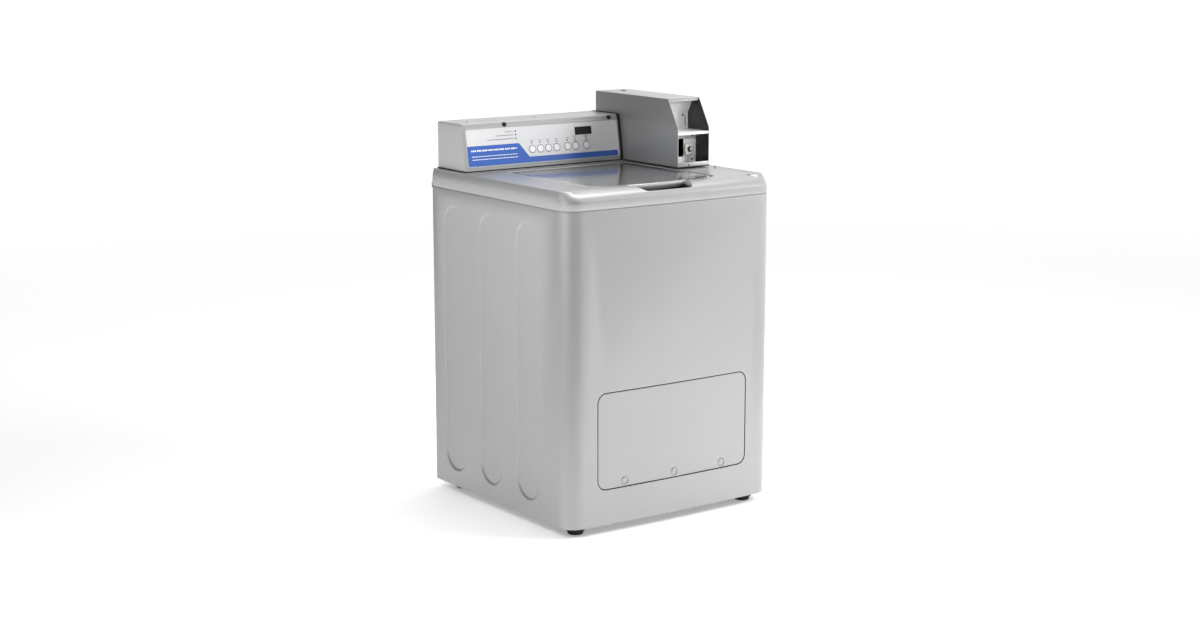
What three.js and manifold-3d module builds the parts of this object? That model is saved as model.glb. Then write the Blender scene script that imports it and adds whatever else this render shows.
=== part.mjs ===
// A top load washing machine with a coin-meter case on its top cover.
// Millimetres, +Z up, the front faces -Y, and the origin is on the floor under the middle.
import * as THREE from 'three';
import { mergeVertices } from 'three/addons/utils/BufferGeometryUtils.js';
import Module from 'manifold-3d';

const wasm = await Module();
wasm.setup();

// ---------------------------------------------------------------- driving dimensions

const GAP = 0.3;
const SHEET = 1.2;

// cabinet
const HALF_WIDTH = 343;
const FRONT_Y = -335;
const REAR_Y = 330;
const FRONT_BOW = 8.5;
const CORNER_RADIUS = 50;
const CABINET_BOTTOM = 25;
const CABINET_TOP = 864;

// long pressed ovals in the sides
const OVAL_CENTRES_Y = [220.7, 39.2, -142.3];
const OVAL_WIDTH = 110;
const OVAL_DEPTH = 4.5;
const OVAL_BEVEL = 5;
const OVAL_LOW = 69;
const OVAL_HIGH = 823;

// front access panel
const ACCESS_HALF_WIDTH = 247.5;
const ACCESS_LOW = 122;
const ACCESS_HIGH = 380;
const ACCESS_CORNER = 25;
const ACCESS_GAP = 2;
const DIMPLE_X = [-163, 0, 163];
const DIMPLE_RADIUS = 11;

// feet
const FOOT_X = 284;
const FOOT_Y = 277;

// top cover and lid
const COVER_BOTTOM = 866;
const RIDGE_TOP = 915;
const DECK_TOP = 912;
const RIDGE_INSIDE = 322;
const DECK_REAR_Y = 178;
const COVER_SHEET = 1.5;
const LID_HALF_WIDTH = 205;
const LID_REAR_Y = 157;
const LID_FRONT_Y = -260;
const LID_CORNER = 38;
const LID_BOTTOM = 895;
const LID_TOP = 911;
const LID_GAP = 1.8;
const LID_SEAT = 893;
const LID_PIN_Y = 153;
const LID_PIN_Z = 907;
const TUB_HOLE = { halfWidth: 183, front: -215, rear: 118, corner: 70 };
const POCKET = { x: -10, halfWidth: 92, frontHalfWidth: 70, frontY: -312, bottom: 884 };

// console
const CONSOLE_LEFT = -326;
const CONSOLE_RIGHT = 205;
const CONSOLE_FRONT_Y = 181.7;
const CONSOLE_BACK_Y = 328;
const CONSOLE_TOP = 1046;
const CONSOLE_LEAN = Math.atan2(21, 130);
const CONSOLE_SHEET = 1.5;
const FACE = { left: -317, right: 198, low: 12.5, high: 118.5, thickness: 2.6 };
const BUTTON_X = [-101.2, -73.9, -46.9, -18.9, 18.7, 45.9, 83.5];
const BUTTON_HEIGHT_ON_FACE = 50.9;
const BUTTON_RADIUS = 9.7;
const DISPLAY = { left: 47.5, right: 105, low: 81, high: 104 };
const PLUG_X = [-186.5, 168.8];
const PLUG_HEIGHT_ON_FACE = 124.5;
const PLUG_RADIUS = 7;

// coin-meter case
const METER_LEFT = 208.7;
const METER_RIGHT = 319.7;
const METER_FRONT_Y = -72;
const METER_SLANT_Y = -27;
const METER_BACK_Y = 320;
const METER_KNEE = 1023;
const METER_TOP = 1104.5;
const METER_SHEET = 1.9;
const SHELF_TOP = 1013;
const VAULT_PLATE_Y = -14;
const VAULT_LOCK = { x: 288, z: 959, width: 30, height: 32, depth: 10 };
const DOOR_LOCK = { x: 272, y: 267, radius: 9.5 };

// tub, basket and agitator
const TUB_RADIUS = 285;
const TUB_FLOOR = 300;
const TUB_RIM = 806;
const TUB_WALL = 4;
const BASKET_RADIUS = 262;
const BASKET_FLOOR = 336;
const BASKET_RIM = 768;
const BASKET_SHEET = 1.2;
const AGITATOR_TOP = 690;
const SHAFT_RADIUS = 9;
const SPIN_TUBE_RADIUS = 15;
const PULLEY_LOW = 98;
const PULLEY_HIGH = 114;
const DRIVE_PULLEY_RADIUS = 95;
const MOTOR_PULLEY_RADIUS = 30;
const MOTOR_PLACE = { x: -125, y: -115 };
const ROD_X = 262;
const ROD_Y = 250;
const SPRING_LOW = 262;
const SPRING_HIGH = 356;

// ---------------------------------------------------------------- solids from three.js geometry

// A closed geometry becomes a solid: its vertices are merged, thin slivers dropped, faces turned out.
function solid(geometry, matrix = new THREE.Matrix4()) {
  const source = geometry.clone().applyMatrix4(matrix);
  source.deleteAttribute('normal');
  source.deleteAttribute('uv');
  const merged = mergeVertices(source, 1e-4);
  const place = merged.attributes.position;
  const corner = (i) => new THREE.Vector3().fromBufferAttribute(place, i);
  const index = merged.index.array;
  const faces = [];
  let volume = 0;
  for (let i = 0; i < index.length; i += 3) {
    const [a, b, c] = [index[i], index[i + 1], index[i + 2]];
    if (a !== b && b !== c && c !== a) {
      faces.push([a, b, c]);
      volume += corner(a).dot(corner(b).cross(corner(c)));
    }
  }
  const ordered = volume > 0 ? faces : faces.map(([a, b, c]) => [a, c, b]);
  return new wasm.Manifold(new wasm.Mesh({
    numProp: 3,
    vertProperties: new Float32Array(place.array),
    triVerts: new Uint32Array(ordered.flat()),
  }));
}

function basis(u, v, w, origin = [0, 0, 0]) {
  const columns = [u, v, w].map((axis) => new THREE.Vector3(...axis));
  return new THREE.Matrix4().makeBasis(...columns).setPosition(...origin);
}

function extrude(shape, depth, matrix, curveSegments = 8) {
  return solid(new THREE.ExtrudeGeometry(shape, { depth, bevelEnabled: false, curveSegments }), matrix);
}

// Prisms of an outline given in XY, XZ or YZ, standing between two values of the third axis.
function prismZ(shape, z0, z1, curveSegments) {
  return extrude(shape, z1 - z0, basis([1, 0, 0], [0, 1, 0], [0, 0, 1], [0, 0, z0]), curveSegments);
}

function prismY(shape, y0, y1, curveSegments) {
  return extrude(shape, y1 - y0, basis([1, 0, 0], [0, 0, 1], [0, -1, 0], [0, y1, 0]), curveSegments);
}

function prismX(shape, x0, x1, curveSegments) {
  return extrude(shape, x1 - x0, basis([0, 1, 0], [0, 0, 1], [1, 0, 0], [x0, 0, 0]), curveSegments);
}

function box(x0, x1, y0, y1, z0, z1) {
  const middle = new THREE.Matrix4().setPosition((x0 + x1) / 2, (y0 + y1) / 2, (z0 + z1) / 2);
  return solid(new THREE.BoxGeometry(x1 - x0, y1 - y0, z1 - z0), middle);
}

// A round bar or cone along Z.
function rod(x, y, z0, z1, bottomRadius, topRadius = bottomRadius, sides = 20) {
  const geometry = new THREE.CylinderGeometry(topRadius, bottomRadius, z1 - z0, sides);
  const upright = new THREE.Matrix4().makeRotationX(Math.PI / 2).setPosition(x, y, (z0 + z1) / 2);
  return solid(geometry, upright);
}

// A round bar along X or Y.
function rodX(x0, x1, y, z, radius, sides = 12) {
  const geometry = new THREE.CylinderGeometry(radius, radius, x1 - x0, sides);
  return solid(geometry, new THREE.Matrix4().makeRotationZ(Math.PI / 2).setPosition((x0 + x1) / 2, y, z));
}

function rodY(y0, y1, x, z, radius, sides = 14) {
  const geometry = new THREE.CylinderGeometry(radius, radius, y1 - y0, sides);
  return solid(geometry, new THREE.Matrix4().setPosition(x, (y0 + y1) / 2, z));
}

// A closed outline of [radius, height] points turned about Z.
function turned(outline, sides = 40, x = 0, y = 0) {
  const points = outline.map(([radius, height]) => new THREE.Vector2(radius, height));
  if (outline[0][0] > 0) points.push(points[0].clone());
  const upright = new THREE.Matrix4().makeRotationX(Math.PI / 2).setPosition(x, y, 0);
  return solid(new THREE.LatheGeometry(points, sides), upright);
}

const union = (...parts) => parts.reduce((whole, part) => whole.add(part));
const cut = (whole, ...tools) => tools.reduce((rest, tool) => rest.subtract(tool), whole);
const mirrorX = (part) => part.mirror([1, 0, 0]);

// ---------------------------------------------------------------- outlines

function polygon(points) {
  return new THREE.Shape(points.map(([u, v]) => new THREE.Vector2(u, v)));
}

function roundedRect(left, right, low, high, radius) {
  const shape = new THREE.Shape();
  shape.moveTo(left + radius, low);
  shape.lineTo(right - radius, low);
  shape.absarc(right - radius, low + radius, radius, -Math.PI / 2, 0);
  shape.lineTo(right, high - radius);
  shape.absarc(right - radius, high - radius, radius, 0, Math.PI / 2);
  shape.lineTo(left + radius, high);
  shape.absarc(left + radius, high - radius, radius, Math.PI / 2, Math.PI);
  shape.lineTo(left, low + radius);
  shape.absarc(left + radius, low + radius, radius, Math.PI, 1.5 * Math.PI);
  return shape;
}

// Plan of the cabinet: square at the rear, rounded corners and a slight bow at the front.
function cabinetPlan(inset, rearY) {
  const half = HALF_WIDTH - inset;
  const radius = CORNER_RADIUS - inset;
  const cornerX = half - radius;
  const bowAt = (x) => FRONT_Y + inset + FRONT_BOW * (x / HALF_WIDTH) ** 2;
  const cornerY = bowAt(cornerX) + radius;
  const points = [[half, rearY], [-half, rearY]];
  const CORNER_STEPS = 7;
  for (let i = 0; i <= CORNER_STEPS; i += 1) {
    const turn = Math.PI + (i / CORNER_STEPS) * (Math.PI / 2);
    points.push([-cornerX + radius * Math.cos(turn), cornerY + radius * Math.sin(turn)]);
  }
  const BOW_STEPS = 10;
  for (let i = 1; i < BOW_STEPS; i += 1) {
    const x = -cornerX + (2 * cornerX * i) / BOW_STEPS;
    points.push([x, bowAt(x)]);
  }
  for (let i = 0; i <= CORNER_STEPS; i += 1) {
    const turn = 1.5 * Math.PI + (i / CORNER_STEPS) * (Math.PI / 2);
    points.push([cornerX + radius * Math.cos(turn), cornerY + radius * Math.sin(turn)]);
  }
  return polygon(points);
}

// A bent sheet seen from its end: a line of points thickened to its left.
function sheetOutline(points, thickness) {
  const at = points.map(([u, v]) => new THREE.Vector2(u, v));
  const along = at.slice(1).map((point, i) => point.clone().sub(at[i]).normalize());
  const left = along.map((d) => new THREE.Vector2(-d.y, d.x));
  const offset = at.map((point, i) => {
    const before = left[Math.max(i - 1, 0)];
    const after = left[Math.min(i, left.length - 1)];
    const mitre = before.clone().add(after).normalize();
    return point.clone().addScaledVector(mitre, thickness / mitre.dot(after));
  });
  return new THREE.Shape([...at, ...offset.reverse()]);
}

// ---------------------------------------------------------------- scene graph

const group = new THREE.Group();

const PAINT = { color: 0xb9bbbd, roughness: 0.38, metalness: 0.45 };
const LID_PAINT = { color: 0xb4b6b8, roughness: 0.16, metalness: 0.45 };
const GALVANISED = { color: 0x9a9da0, roughness: 0.5, metalness: 0.8 };
const STAINLESS = { color: 0xc9cbcc, roughness: 0.28, metalness: 0.95 };
const METER_STEEL = { color: 0x8a8c8e, roughness: 0.42, metalness: 0.7 };
const CAST = { color: 0x84878a, roughness: 0.6, metalness: 0.7 };
const RUBBER = { color: 0x151515, roughness: 0.8, metalness: 0 };
const BLACK_PLASTIC = { color: 0x111112, roughness: 0.4, metalness: 0 };
const WHITE_PLASTIC = { color: 0xe9e9e6, roughness: 0.45, metalness: 0 };
const TUB_PLASTIC = { color: 0xd5d7d6, roughness: 0.5, metalness: 0 };
const OVERLAY = { color: 0xd9dbdd, roughness: 0.25, metalness: 0.2 };
const DARK_GLASS = { color: 0x0a0b0d, roughness: 0.1, metalness: 0 };
const BOARD_GREEN = { color: 0x1f5a36, roughness: 0.6, metalness: 0 };

function addPart(name, shape, finish, parent = group) {
  const data = shape.getMesh();
  const geometry = new THREE.BufferGeometry();
  geometry.setAttribute('position', new THREE.BufferAttribute(data.vertProperties, 3));
  geometry.setIndex(new THREE.BufferAttribute(data.triVerts, 1));
  geometry.computeVertexNormals();
  const mesh = new THREE.Mesh(geometry, new THREE.MeshStandardMaterial(finish));
  mesh.name = name;
  parent.add(mesh);
}

// ---------------------------------------------------------------- cabinet

// One oval pocket in the left side, widened by grow, as a solid that runs depth deep.
function ovalPocket(centreY, depth, grow) {
  const stadium = (shrink) => {
    const half = OVAL_WIDTH / 2 - shrink + grow;
    const shape = new THREE.Shape();
    shape.absarc(centreY, OVAL_HIGH - OVAL_WIDTH / 2, half, 0, Math.PI);
    shape.absarc(centreY, OVAL_LOW + OVAL_WIDTH / 2, half, Math.PI, 2 * Math.PI);
    return shape.extractPoints(5).shape;
  };
  const outer = stadium(0);
  const inner = stadium(OVAL_BEVEL);
  const outside = -HALF_WIDTH - 1;
  const rings = [
    outer.map((p) => [outside, p.x, p.y]),
    outer.map((p) => [-HALF_WIDTH, p.x, p.y]),
    inner.map((p) => [-HALF_WIDTH + depth, p.x, p.y]),
  ];
  return lofted(rings);
}

// A closed solid through rings of equally many points, with flat ends.
function lofted(rings) {
  const count = rings[0].length;
  const positions = rings.flat(2);
  const faces = [];
  const last = (rings.length - 1) * count;
  for (let i = 1; i < count - 1; i += 1) {
    faces.push(0, i, i + 1);
    faces.push(last, last + i + 1, last + i);
  }
  for (let ring = 0; ring < rings.length - 1; ring += 1) {
    for (let i = 0; i < count; i += 1) {
      const next = (i + 1) % count;
      const a = ring * count + i;
      const b = ring * count + next;
      faces.push(a, a + count, b);
      faces.push(b, a + count, b + count);
    }
  }
  const geometry = new THREE.BufferGeometry();
  geometry.setAttribute('position', new THREE.Float32BufferAttribute(positions, 3));
  geometry.setIndex(faces);
  return solid(geometry);
}

function accessOutline(grow) {
  const half = ACCESS_HALF_WIDTH + grow;
  return roundedRect(-half, half, ACCESS_LOW - grow, ACCESS_HIGH + grow, ACCESS_CORNER + grow);
}

function cabinetShell() {
  const rear = REAR_Y - SHEET - GAP;
  let outer = prismZ(cabinetPlan(0, rear), CABINET_BOTTOM, CABINET_TOP);
  let inner = prismZ(cabinetPlan(SHEET, rear - SHEET), CABINET_BOTTOM - 1, CABINET_TOP + 1);
  for (const centreY of OVAL_CENTRES_Y) {
    const pocket = ovalPocket(centreY, OVAL_DEPTH, 0);
    const pressed = ovalPocket(centreY, OVAL_DEPTH + SHEET, SHEET);
    outer = cut(outer, pocket, mirrorX(pocket));
    inner = cut(inner, pressed, mirrorX(pressed));
  }
  const REAR_FLANGE = 18;
  const rearOpening = HALF_WIDTH - SHEET - REAR_FLANGE;
  const rearCut = box(-rearOpening, rearOpening, rear - 5, rear + 1, CABINET_BOTTOM - 1, CABINET_TOP + 1);
  const accessCut = prismY(accessOutline(ACCESS_GAP), FRONT_Y - 1, FRONT_Y + 20, 6);
  const wrapper = cut(outer, inner, rearCut, accessCut);
  const LEDGE_DEPTH = 3;
  const ledgeOuter = prismZ(cabinetPlan(SHEET / 2, 0), ACCESS_LOW - 20, ACCESS_HIGH + 20);
  const ledgeInner = prismZ(cabinetPlan(SHEET + LEDGE_DEPTH, 1), ACCESS_LOW - 21, ACCESS_HIGH + 21);
  const ledgeEdge = box(-ACCESS_HALF_WIDTH - 18, ACCESS_HALF_WIDTH + 18, FRONT_Y - 1, FRONT_Y + 25, 0, 500);
  const ledgeHole = prismY(accessOutline(-10), FRONT_Y - 1, FRONT_Y + 30, 6);
  const panelRoom = prismZ(cabinetPlan(SHEET + GAP, 2), ACCESS_LOW - ACCESS_GAP, ACCESS_HIGH + ACCESS_GAP);
  const besidePanel = prismY(accessOutline(ACCESS_GAP), FRONT_Y - 1, FRONT_Y + 30, 6);
  const room = besidePanel.subtract(panelRoom);
  const ledge = cut(ledgeOuter, ledgeInner).intersect(ledgeEdge);
  return union(wrapper, cut(ledge, ledgeHole, room));
}

function accessPanel() {
  const slab = cut(
    prismZ(cabinetPlan(0, 0), ACCESS_LOW, ACCESS_HIGH),
    prismZ(cabinetPlan(SHEET, 1), ACCESS_LOW - 1, ACCESS_HIGH + 1),
  );
  let panel = slab.intersect(prismY(accessOutline(0), FRONT_Y - 1, FRONT_Y + 30, 6));
  for (const x of DIMPLE_X) {
    const bow = FRONT_BOW * (x / HALF_WIDTH) ** 2;
    panel = cut(panel, rodY(FRONT_Y - 1, FRONT_Y + bow + 0.6, x, ACCESS_LOW + 13.5, DIMPLE_RADIUS));
  }
  return panel;
}

// Channel rails round the foot of the cabinet, open underneath, with a block over each foot.
function baseFrame() {
  const LOW = CABINET_BOTTOM + 2;
  const HIGH = LOW + 34;
  const WALL = 2;
  const RAIL = 58;
  const outerX = HALF_WIDTH - 8;
  const frontY = FRONT_Y + 30;
  const rearY = REAR_Y - 6;
  const outer = roundedRect(-outerX, outerX, frontY, rearY, 30);
  const inner = roundedRect(-outerX + RAIL, outerX - RAIL, frontY + RAIL, rearY - RAIL, 40);
  const grooveOuter = roundedRect(-outerX + WALL, outerX - WALL, frontY + WALL, rearY - WALL, 28);
  const grooveInner = roundedRect(
    -outerX + RAIL - WALL, outerX - RAIL + WALL, frontY + RAIL - WALL, rearY - RAIL + WALL, 40);
  const ring = cut(prismZ(outer, LOW, HIGH, 4), prismZ(inner, LOW - 1, HIGH + 1, 4));
  const groove = cut(
    prismZ(grooveOuter, LOW - 1, HIGH - WALL, 4), prismZ(grooveInner, LOW - 2, HIGH, 4));
  let frame = cut(ring, groove);
  for (const [x, y] of footPlaces()) {
    frame = union(frame, box(x - 12, x + 12, y - 12, y + 12, LOW, HIGH));
    frame = cut(frame, rod(x, y, LOW - 1, HIGH + 1, 5.4, 5.4, 12));
  }
  return frame;
}

function footPlaces() {
  return [[-FOOT_X, -FOOT_Y], [FOOT_X, -FOOT_Y], [-FOOT_X, FOOT_Y], [FOOT_X, FOOT_Y]];
}

// A rubber pad moulded round a threaded stud.
function foot(x, y) {
  const outline = [
    [0, 0], [20, 0], [21.5, 1.5], [22, 7], [28.5, 15], [29, 20], [27, 23], [5.1, 23], [5.1, 58],
    [0, 58],
  ];
  return turned(outline, 20, x, y);
}

const VALVE = { x: 170, z: 800, depth: 30 };
const PORT = { x: -200, z: 700 };
const CORD = { x: 262, z: 800 };

function rearPanel() {
  const half = HALF_WIDTH - 3;
  const front = REAR_Y - SHEET;
  let panel = box(-half, half, front, REAR_Y, CABINET_BOTTOM + 2, CABINET_TOP - 2);
  const pocket = (grow) => roundedRect(
    VALVE.x - 70 - grow, VALVE.x + 70 + grow, VALVE.z - 35 - grow, VALVE.z + 35 + grow, 10);
  panel = union(panel, prismY(pocket(SHEET), REAR_Y - VALVE.depth, REAR_Y, 3));
  panel = cut(panel, prismY(pocket(0), REAR_Y - VALVE.depth + SHEET, REAR_Y + 1, 3));
  const LOUVRES = 5;
  for (let i = 0; i < LOUVRES; i += 1) {
    panel = cut(panel, box(-70, 70, front - 1, REAR_Y + 1, 200 + 24 * i, 206 + 24 * i));
  }
  for (const x of [VALVE.x - 32, VALVE.x + 32]) {
    panel = cut(panel, rodY(REAR_Y - VALVE.depth - 1, REAR_Y + 1, x, VALVE.z, 14));
  }
  panel = cut(panel, rodY(front - 1, REAR_Y + 1, PORT.x, PORT.z, 17));
  return cut(panel, rodY(front - 1, REAR_Y + 1, CORD.x, CORD.z, 9));
}

// Valve body behind the pocket, with two hose spigots that reach back through it.
function inletValve() {
  const front = REAR_Y - VALVE.depth;
  let valve = box(VALVE.x - 50, VALVE.x + 50, front - 29, front - GAP, VALVE.z - 18, VALVE.z + 18);
  for (const x of [VALVE.x - 32, VALVE.x + 32]) {
    valve = union(valve, rodY(front - 1, REAR_Y - 3, x, VALVE.z, 13));
    valve = cut(valve, rodY(front - 20, REAR_Y, x, VALVE.z, 9));
    valve = union(valve, rod(x, front - 15, VALVE.z - 50, VALVE.z - 17, 13, 13, 16));
  }
  return valve;
}

function drainPort() {
  const flange = rodY(REAR_Y - SHEET - 5, REAR_Y - SHEET - GAP, PORT.x, PORT.z, 24);
  const neck = rodY(REAR_Y - 45, REAR_Y + 4, PORT.x, PORT.z, 16);
  return cut(union(flange, neck), rodY(REAR_Y - 50, REAR_Y + 5, PORT.x, PORT.z, 12.5));
}

function cordBush() {
  const flange = rodY(REAR_Y + GAP, REAR_Y + 3, CORD.x, CORD.z, 12);
  const neck = rodY(REAR_Y - 12, REAR_Y + 1, CORD.x, CORD.z, 8.6);
  return cut(union(flange, neck), rodY(REAR_Y - 14, REAR_Y + 5, CORD.x, CORD.z, 4.5, 12));
}

// Black clip outside the rear corner of the seam; the cover tilts back about it.
function coverClip() {
  return box(-HALF_WIDTH + 1, -HALF_WIDTH + 14, REAR_Y + GAP, REAR_Y + 5, CABINET_TOP - 2, CABINET_TOP + 12);
}

// A hooked rod that hangs from the cabinet's corner, with the washer its spring stands on.
function suspensionRod(x, y) {
  const ROD_BOTTOM = 240;
  const ROD_TOP = 822;
  const washer = rod(x, y, SPRING_LOW - 8, SPRING_LOW - GAP, 19, 19, 16);
  const head = rod(x, y, ROD_TOP, ROD_TOP + 8, 13, 13, 16);
  const arm = box(x - 14, x + 14, y - 14, y + 14, ROD_TOP + 8, ROD_TOP + 11);
  const reach = HALF_WIDTH - SHEET - GAP;
  const toSide = box(Math.abs(x) - 14, reach, y - 14, y + 14, ROD_TOP + 8, ROD_TOP + 11);
  const bracket = x < 0 ? mirrorX(toSide) : toSide;
  return union(rod(x, y, ROD_BOTTOM, ROD_TOP + 1, 3.5, 3.5, 10), washer, head, arm, bracket);
}

addPart('cabinet_shell', cabinetShell(), PAINT);
addPart('access_panel', accessPanel(), PAINT);
addPart('base_frame', baseFrame(), GALVANISED);
addPart('rear_panel', rearPanel(), PAINT);
addPart('inlet_valve', inletValve(), WHITE_PLASTIC);
addPart('drain_port', drainPort(), BLACK_PLASTIC);
addPart('cord_bush', cordBush(), BLACK_PLASTIC);
addPart('cover_clip_left', coverClip(), BLACK_PLASTIC);
addPart('cover_clip_right', mirrorX(coverClip()), BLACK_PLASTIC);
const CORNER_NAMES = ['front_left', 'front_right', 'rear_left', 'rear_right'];
footPlaces().forEach(([x, y], i) => addPart(`foot_${CORNER_NAMES[i]}`, foot(x, y), RUBBER));

const rodPlaces = [[-ROD_X, -ROD_Y], [ROD_X, -ROD_Y], [-ROD_X, ROD_Y], [ROD_X, ROD_Y]];
rodPlaces.forEach(([x, y], i) => {
  addPart(`suspension_rod_${CORNER_NAMES[i]}`, suspensionRod(x, y), GALVANISED);
});

// ---------------------------------------------------------------- top cover and lid

// Side view of the cover: flat ridge, then a round front that ends in an upright fascia.
function coverSide(drop) {
  const points = [[REAR_Y + 2, COVER_BOTTOM - 20], [REAR_Y + 2, RIDGE_TOP - drop]];
  const FASCIA_TOP = 888;
  const startY = -268;
  const endY = FRONT_Y - 1;
  const STEPS = 10;
  for (let i = 0; i <= STEPS; i += 1) {
    const turn = (i / STEPS) * (Math.PI / 2);
    const y = startY + (endY + drop - startY) * Math.sin(turn);
    const z = FASCIA_TOP + (RIDGE_TOP - drop - FASCIA_TOP) * Math.cos(turn) ** 0.9;
    points.push([y, z]);
  }
  points.push([endY + drop, COVER_BOTTOM - 20]);
  return polygon(points);
}

function lidOutline(grow) {
  const left = -LID_HALF_WIDTH - grow;
  const right = LID_HALF_WIDTH + grow;
  const rear = LID_REAR_Y + grow;
  const front = LID_FRONT_Y - grow;
  const radius = LID_CORNER + grow;
  const FRONT_CURVE = 7;
  const shape = new THREE.Shape();
  shape.moveTo(right, rear);
  shape.lineTo(left, rear);
  shape.lineTo(left, front + FRONT_CURVE + radius);
  shape.absarc(left + radius, front + FRONT_CURVE + radius, radius, Math.PI, 1.5 * Math.PI);
  shape.quadraticCurveTo(0, front - FRONT_CURVE, right - radius, front + FRONT_CURVE);
  shape.absarc(right - radius, front + FRONT_CURVE + radius, radius, 1.5 * Math.PI, 2 * Math.PI);
  return shape;
}

function pocketOutline() {
  const { x, halfWidth, frontHalfWidth, frontY } = POCKET;
  return polygon([
    [x - halfWidth, LID_FRONT_Y + 30], [x - halfWidth, LID_FRONT_Y - 6], [x - frontHalfWidth, frontY],
    [x + frontHalfWidth, frontY], [x + halfWidth, LID_FRONT_Y - 6], [x + halfWidth, LID_FRONT_Y + 30],
  ]);
}

function topCover() {
  const outer = prismZ(cabinetPlan(0, REAR_Y), COVER_BOTTOM, RIDGE_TOP + 5)
    .intersect(prismX(coverSide(0), -HALF_WIDTH - 5, HALF_WIDTH + 5));
  const inner = prismZ(cabinetPlan(COVER_SHEET, REAR_Y - COVER_SHEET), COVER_BOTTOM - 1, RIDGE_TOP)
    .intersect(prismX(coverSide(COVER_SHEET + 3), -HALF_WIDTH, HALF_WIDTH));
  const deck = roundedRect(-RIDGE_INSIDE, RIDGE_INSIDE, -500, DECK_REAR_Y, 20);
  const deckCut = prismZ(deck, DECK_TOP, RIDGE_TOP + 5);
  const shell = cut(outer, inner, deckCut);
  const trayWall = 1.5;
  const trayBlock = box(
    -LID_HALF_WIDTH - LID_GAP - trayWall, METER_LEFT + 2.5, -329, LID_REAR_Y + LID_GAP + trayWall,
    LID_SEAT - 2, DECK_TOP);
  const pocketBlock = box(
    POCKET.x - POCKET.halfWidth - 4, POCKET.x + POCKET.halfWidth + 4, POCKET.frontY - 6, LID_FRONT_Y + 34,
    POCKET.bottom - 2, DECK_TOP);
  const tray = union(trayBlock, pocketBlock).intersect(outer);
  const lidRoom = prismZ(lidOutline(LID_GAP), LID_SEAT, RIDGE_TOP + 5);
  const pocketRoom = prismZ(pocketOutline(), POCKET.bottom, RIDGE_TOP + 5);
  const { halfWidth, front, rear, corner } = TUB_HOLE;
  const hole = prismZ(roundedRect(-halfWidth, halfWidth, front, rear, corner), 800, RIDGE_TOP + 5);
  const SKIRT_DROP = 12;
  const skirt = cut(
    prismZ(cabinetPlan(3.5, REAR_Y - 5), COVER_BOTTOM - SKIRT_DROP, COVER_BOTTOM + 4),
    prismZ(cabinetPlan(5.5, REAR_Y - 7), COVER_BOTTOM - SKIRT_DROP - 1, COVER_BOTTOM + 5),
  );
  const rim = cut(
    prismZ(cabinetPlan(0.01, REAR_Y - 0.01), COVER_BOTTOM, COVER_BOTTOM + 2),
    prismZ(cabinetPlan(5.5, REAR_Y - 7), COVER_BOTTOM - 1, COVER_BOTTOM + 5),
  );
  const cover = cut(union(shell, tray, rim, skirt), lidRoom, pocketRoom, hole);
  const pinHoles = rodX(-LID_HALF_WIDTH - 4.5, LID_HALF_WIDTH + 4.5, LID_PIN_Y, LID_PIN_Z, 2.8, 12);
  return cut(cover, pinHoles);
}

// A pressed lid with a turned-down rim, open underneath.
function lid() {
  const top = prismZ(lidOutline(0), LID_BOTTOM, LID_TOP);
  const RIM = 2.5;
  const hollow = prismZ(lidOutline(-RIM), LID_BOTTOM - 1, LID_TOP - 1.5);
  const pinRoom = rodX(-300, 300, LID_PIN_Y, LID_PIN_Z, 2.8, 12);
  return cut(top, hollow, pinRoom);
}

function lidHingePin() {
  return rodX(-LID_HALF_WIDTH - 4, LID_HALF_WIDTH + 4, LID_PIN_Y, LID_PIN_Z, 2.5, 12);
}

function lidSwitch() {
  const body = box(214, 240, 80, 130, 868, LID_SEAT - 3 - GAP);
  return union(body, box(190, 216, 98, 112, 874, 882));
}

function fillSpout() {
  const body = box(-45, 45, 126, 200, 868, LID_SEAT - 3 - GAP);
  return cut(body, box(-38, 38, 120, 192, 860, 884));
}

addPart('top_cover', topCover(), PAINT);
addPart('lid', lid(), LID_PAINT);
addPart('lid_hinge_pin', lidHingePin(), STAINLESS);
addPart('lid_switch', lidSwitch(), WHITE_PLASTIC);
addPart('fill_spout', fillSpout(), BLACK_PLASTIC);

// ---------------------------------------------------------------- console

// Everything on the leaning face is placed in this group: X along it, Y up it, Z out of it.
const faceGroup = new THREE.Group();
faceGroup.position.set(0, CONSOLE_FRONT_Y, RIDGE_TOP);
faceGroup.rotation.x = Math.PI / 2 - CONSOLE_LEAN;
group.add(faceGroup);
faceGroup.updateMatrix();
const faceMatrix = faceGroup.matrix.clone();

// A rounded block on the face, given in the face's own axes.
function faceBlock(left, right, low, high, radius, from, to) {
  return prismZ(roundedRect(left, right, low, high, radius), from, to, 4);
}

function onFace(block) {
  return block.transform(faceMatrix.elements);
}

function consoleProfile(inset, bottom) {
  const lean = Math.tan(CONSOLE_LEAN);
  const front = (z) => CONSOLE_FRONT_Y + (z - RIDGE_TOP) * lean + inset;
  const top = CONSOLE_TOP - inset;
  return polygon([
    [front(bottom), bottom], [front(top - 3), top - 3], [front(top - 3) + 3, top],
    [CONSOLE_BACK_Y - inset, top], [CONSOLE_BACK_Y - inset, bottom],
  ]);
}

function consoleHousing() {
  const bottom = RIDGE_TOP + GAP;
  const outer = prismX(consoleProfile(0, bottom), CONSOLE_LEFT, CONSOLE_RIGHT);
  const inner = prismX(
    consoleProfile(CONSOLE_SHEET, bottom - 1), CONSOLE_LEFT + CONSOLE_SHEET, CONSOLE_RIGHT - CONSOLE_SHEET);
  const { left, right, low, high } = FACE;
  const opening = onFace(faceBlock(left, right, low, high, 8, -8, 8));
  let housing = cut(outer, inner, opening);
  for (const x of PLUG_X) {
    housing = cut(housing, onFace(rod(x, PLUG_HEIGHT_ON_FACE, -10, 5, 3.4, 3.4, 12)));
  }
  return housing;
}

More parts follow.
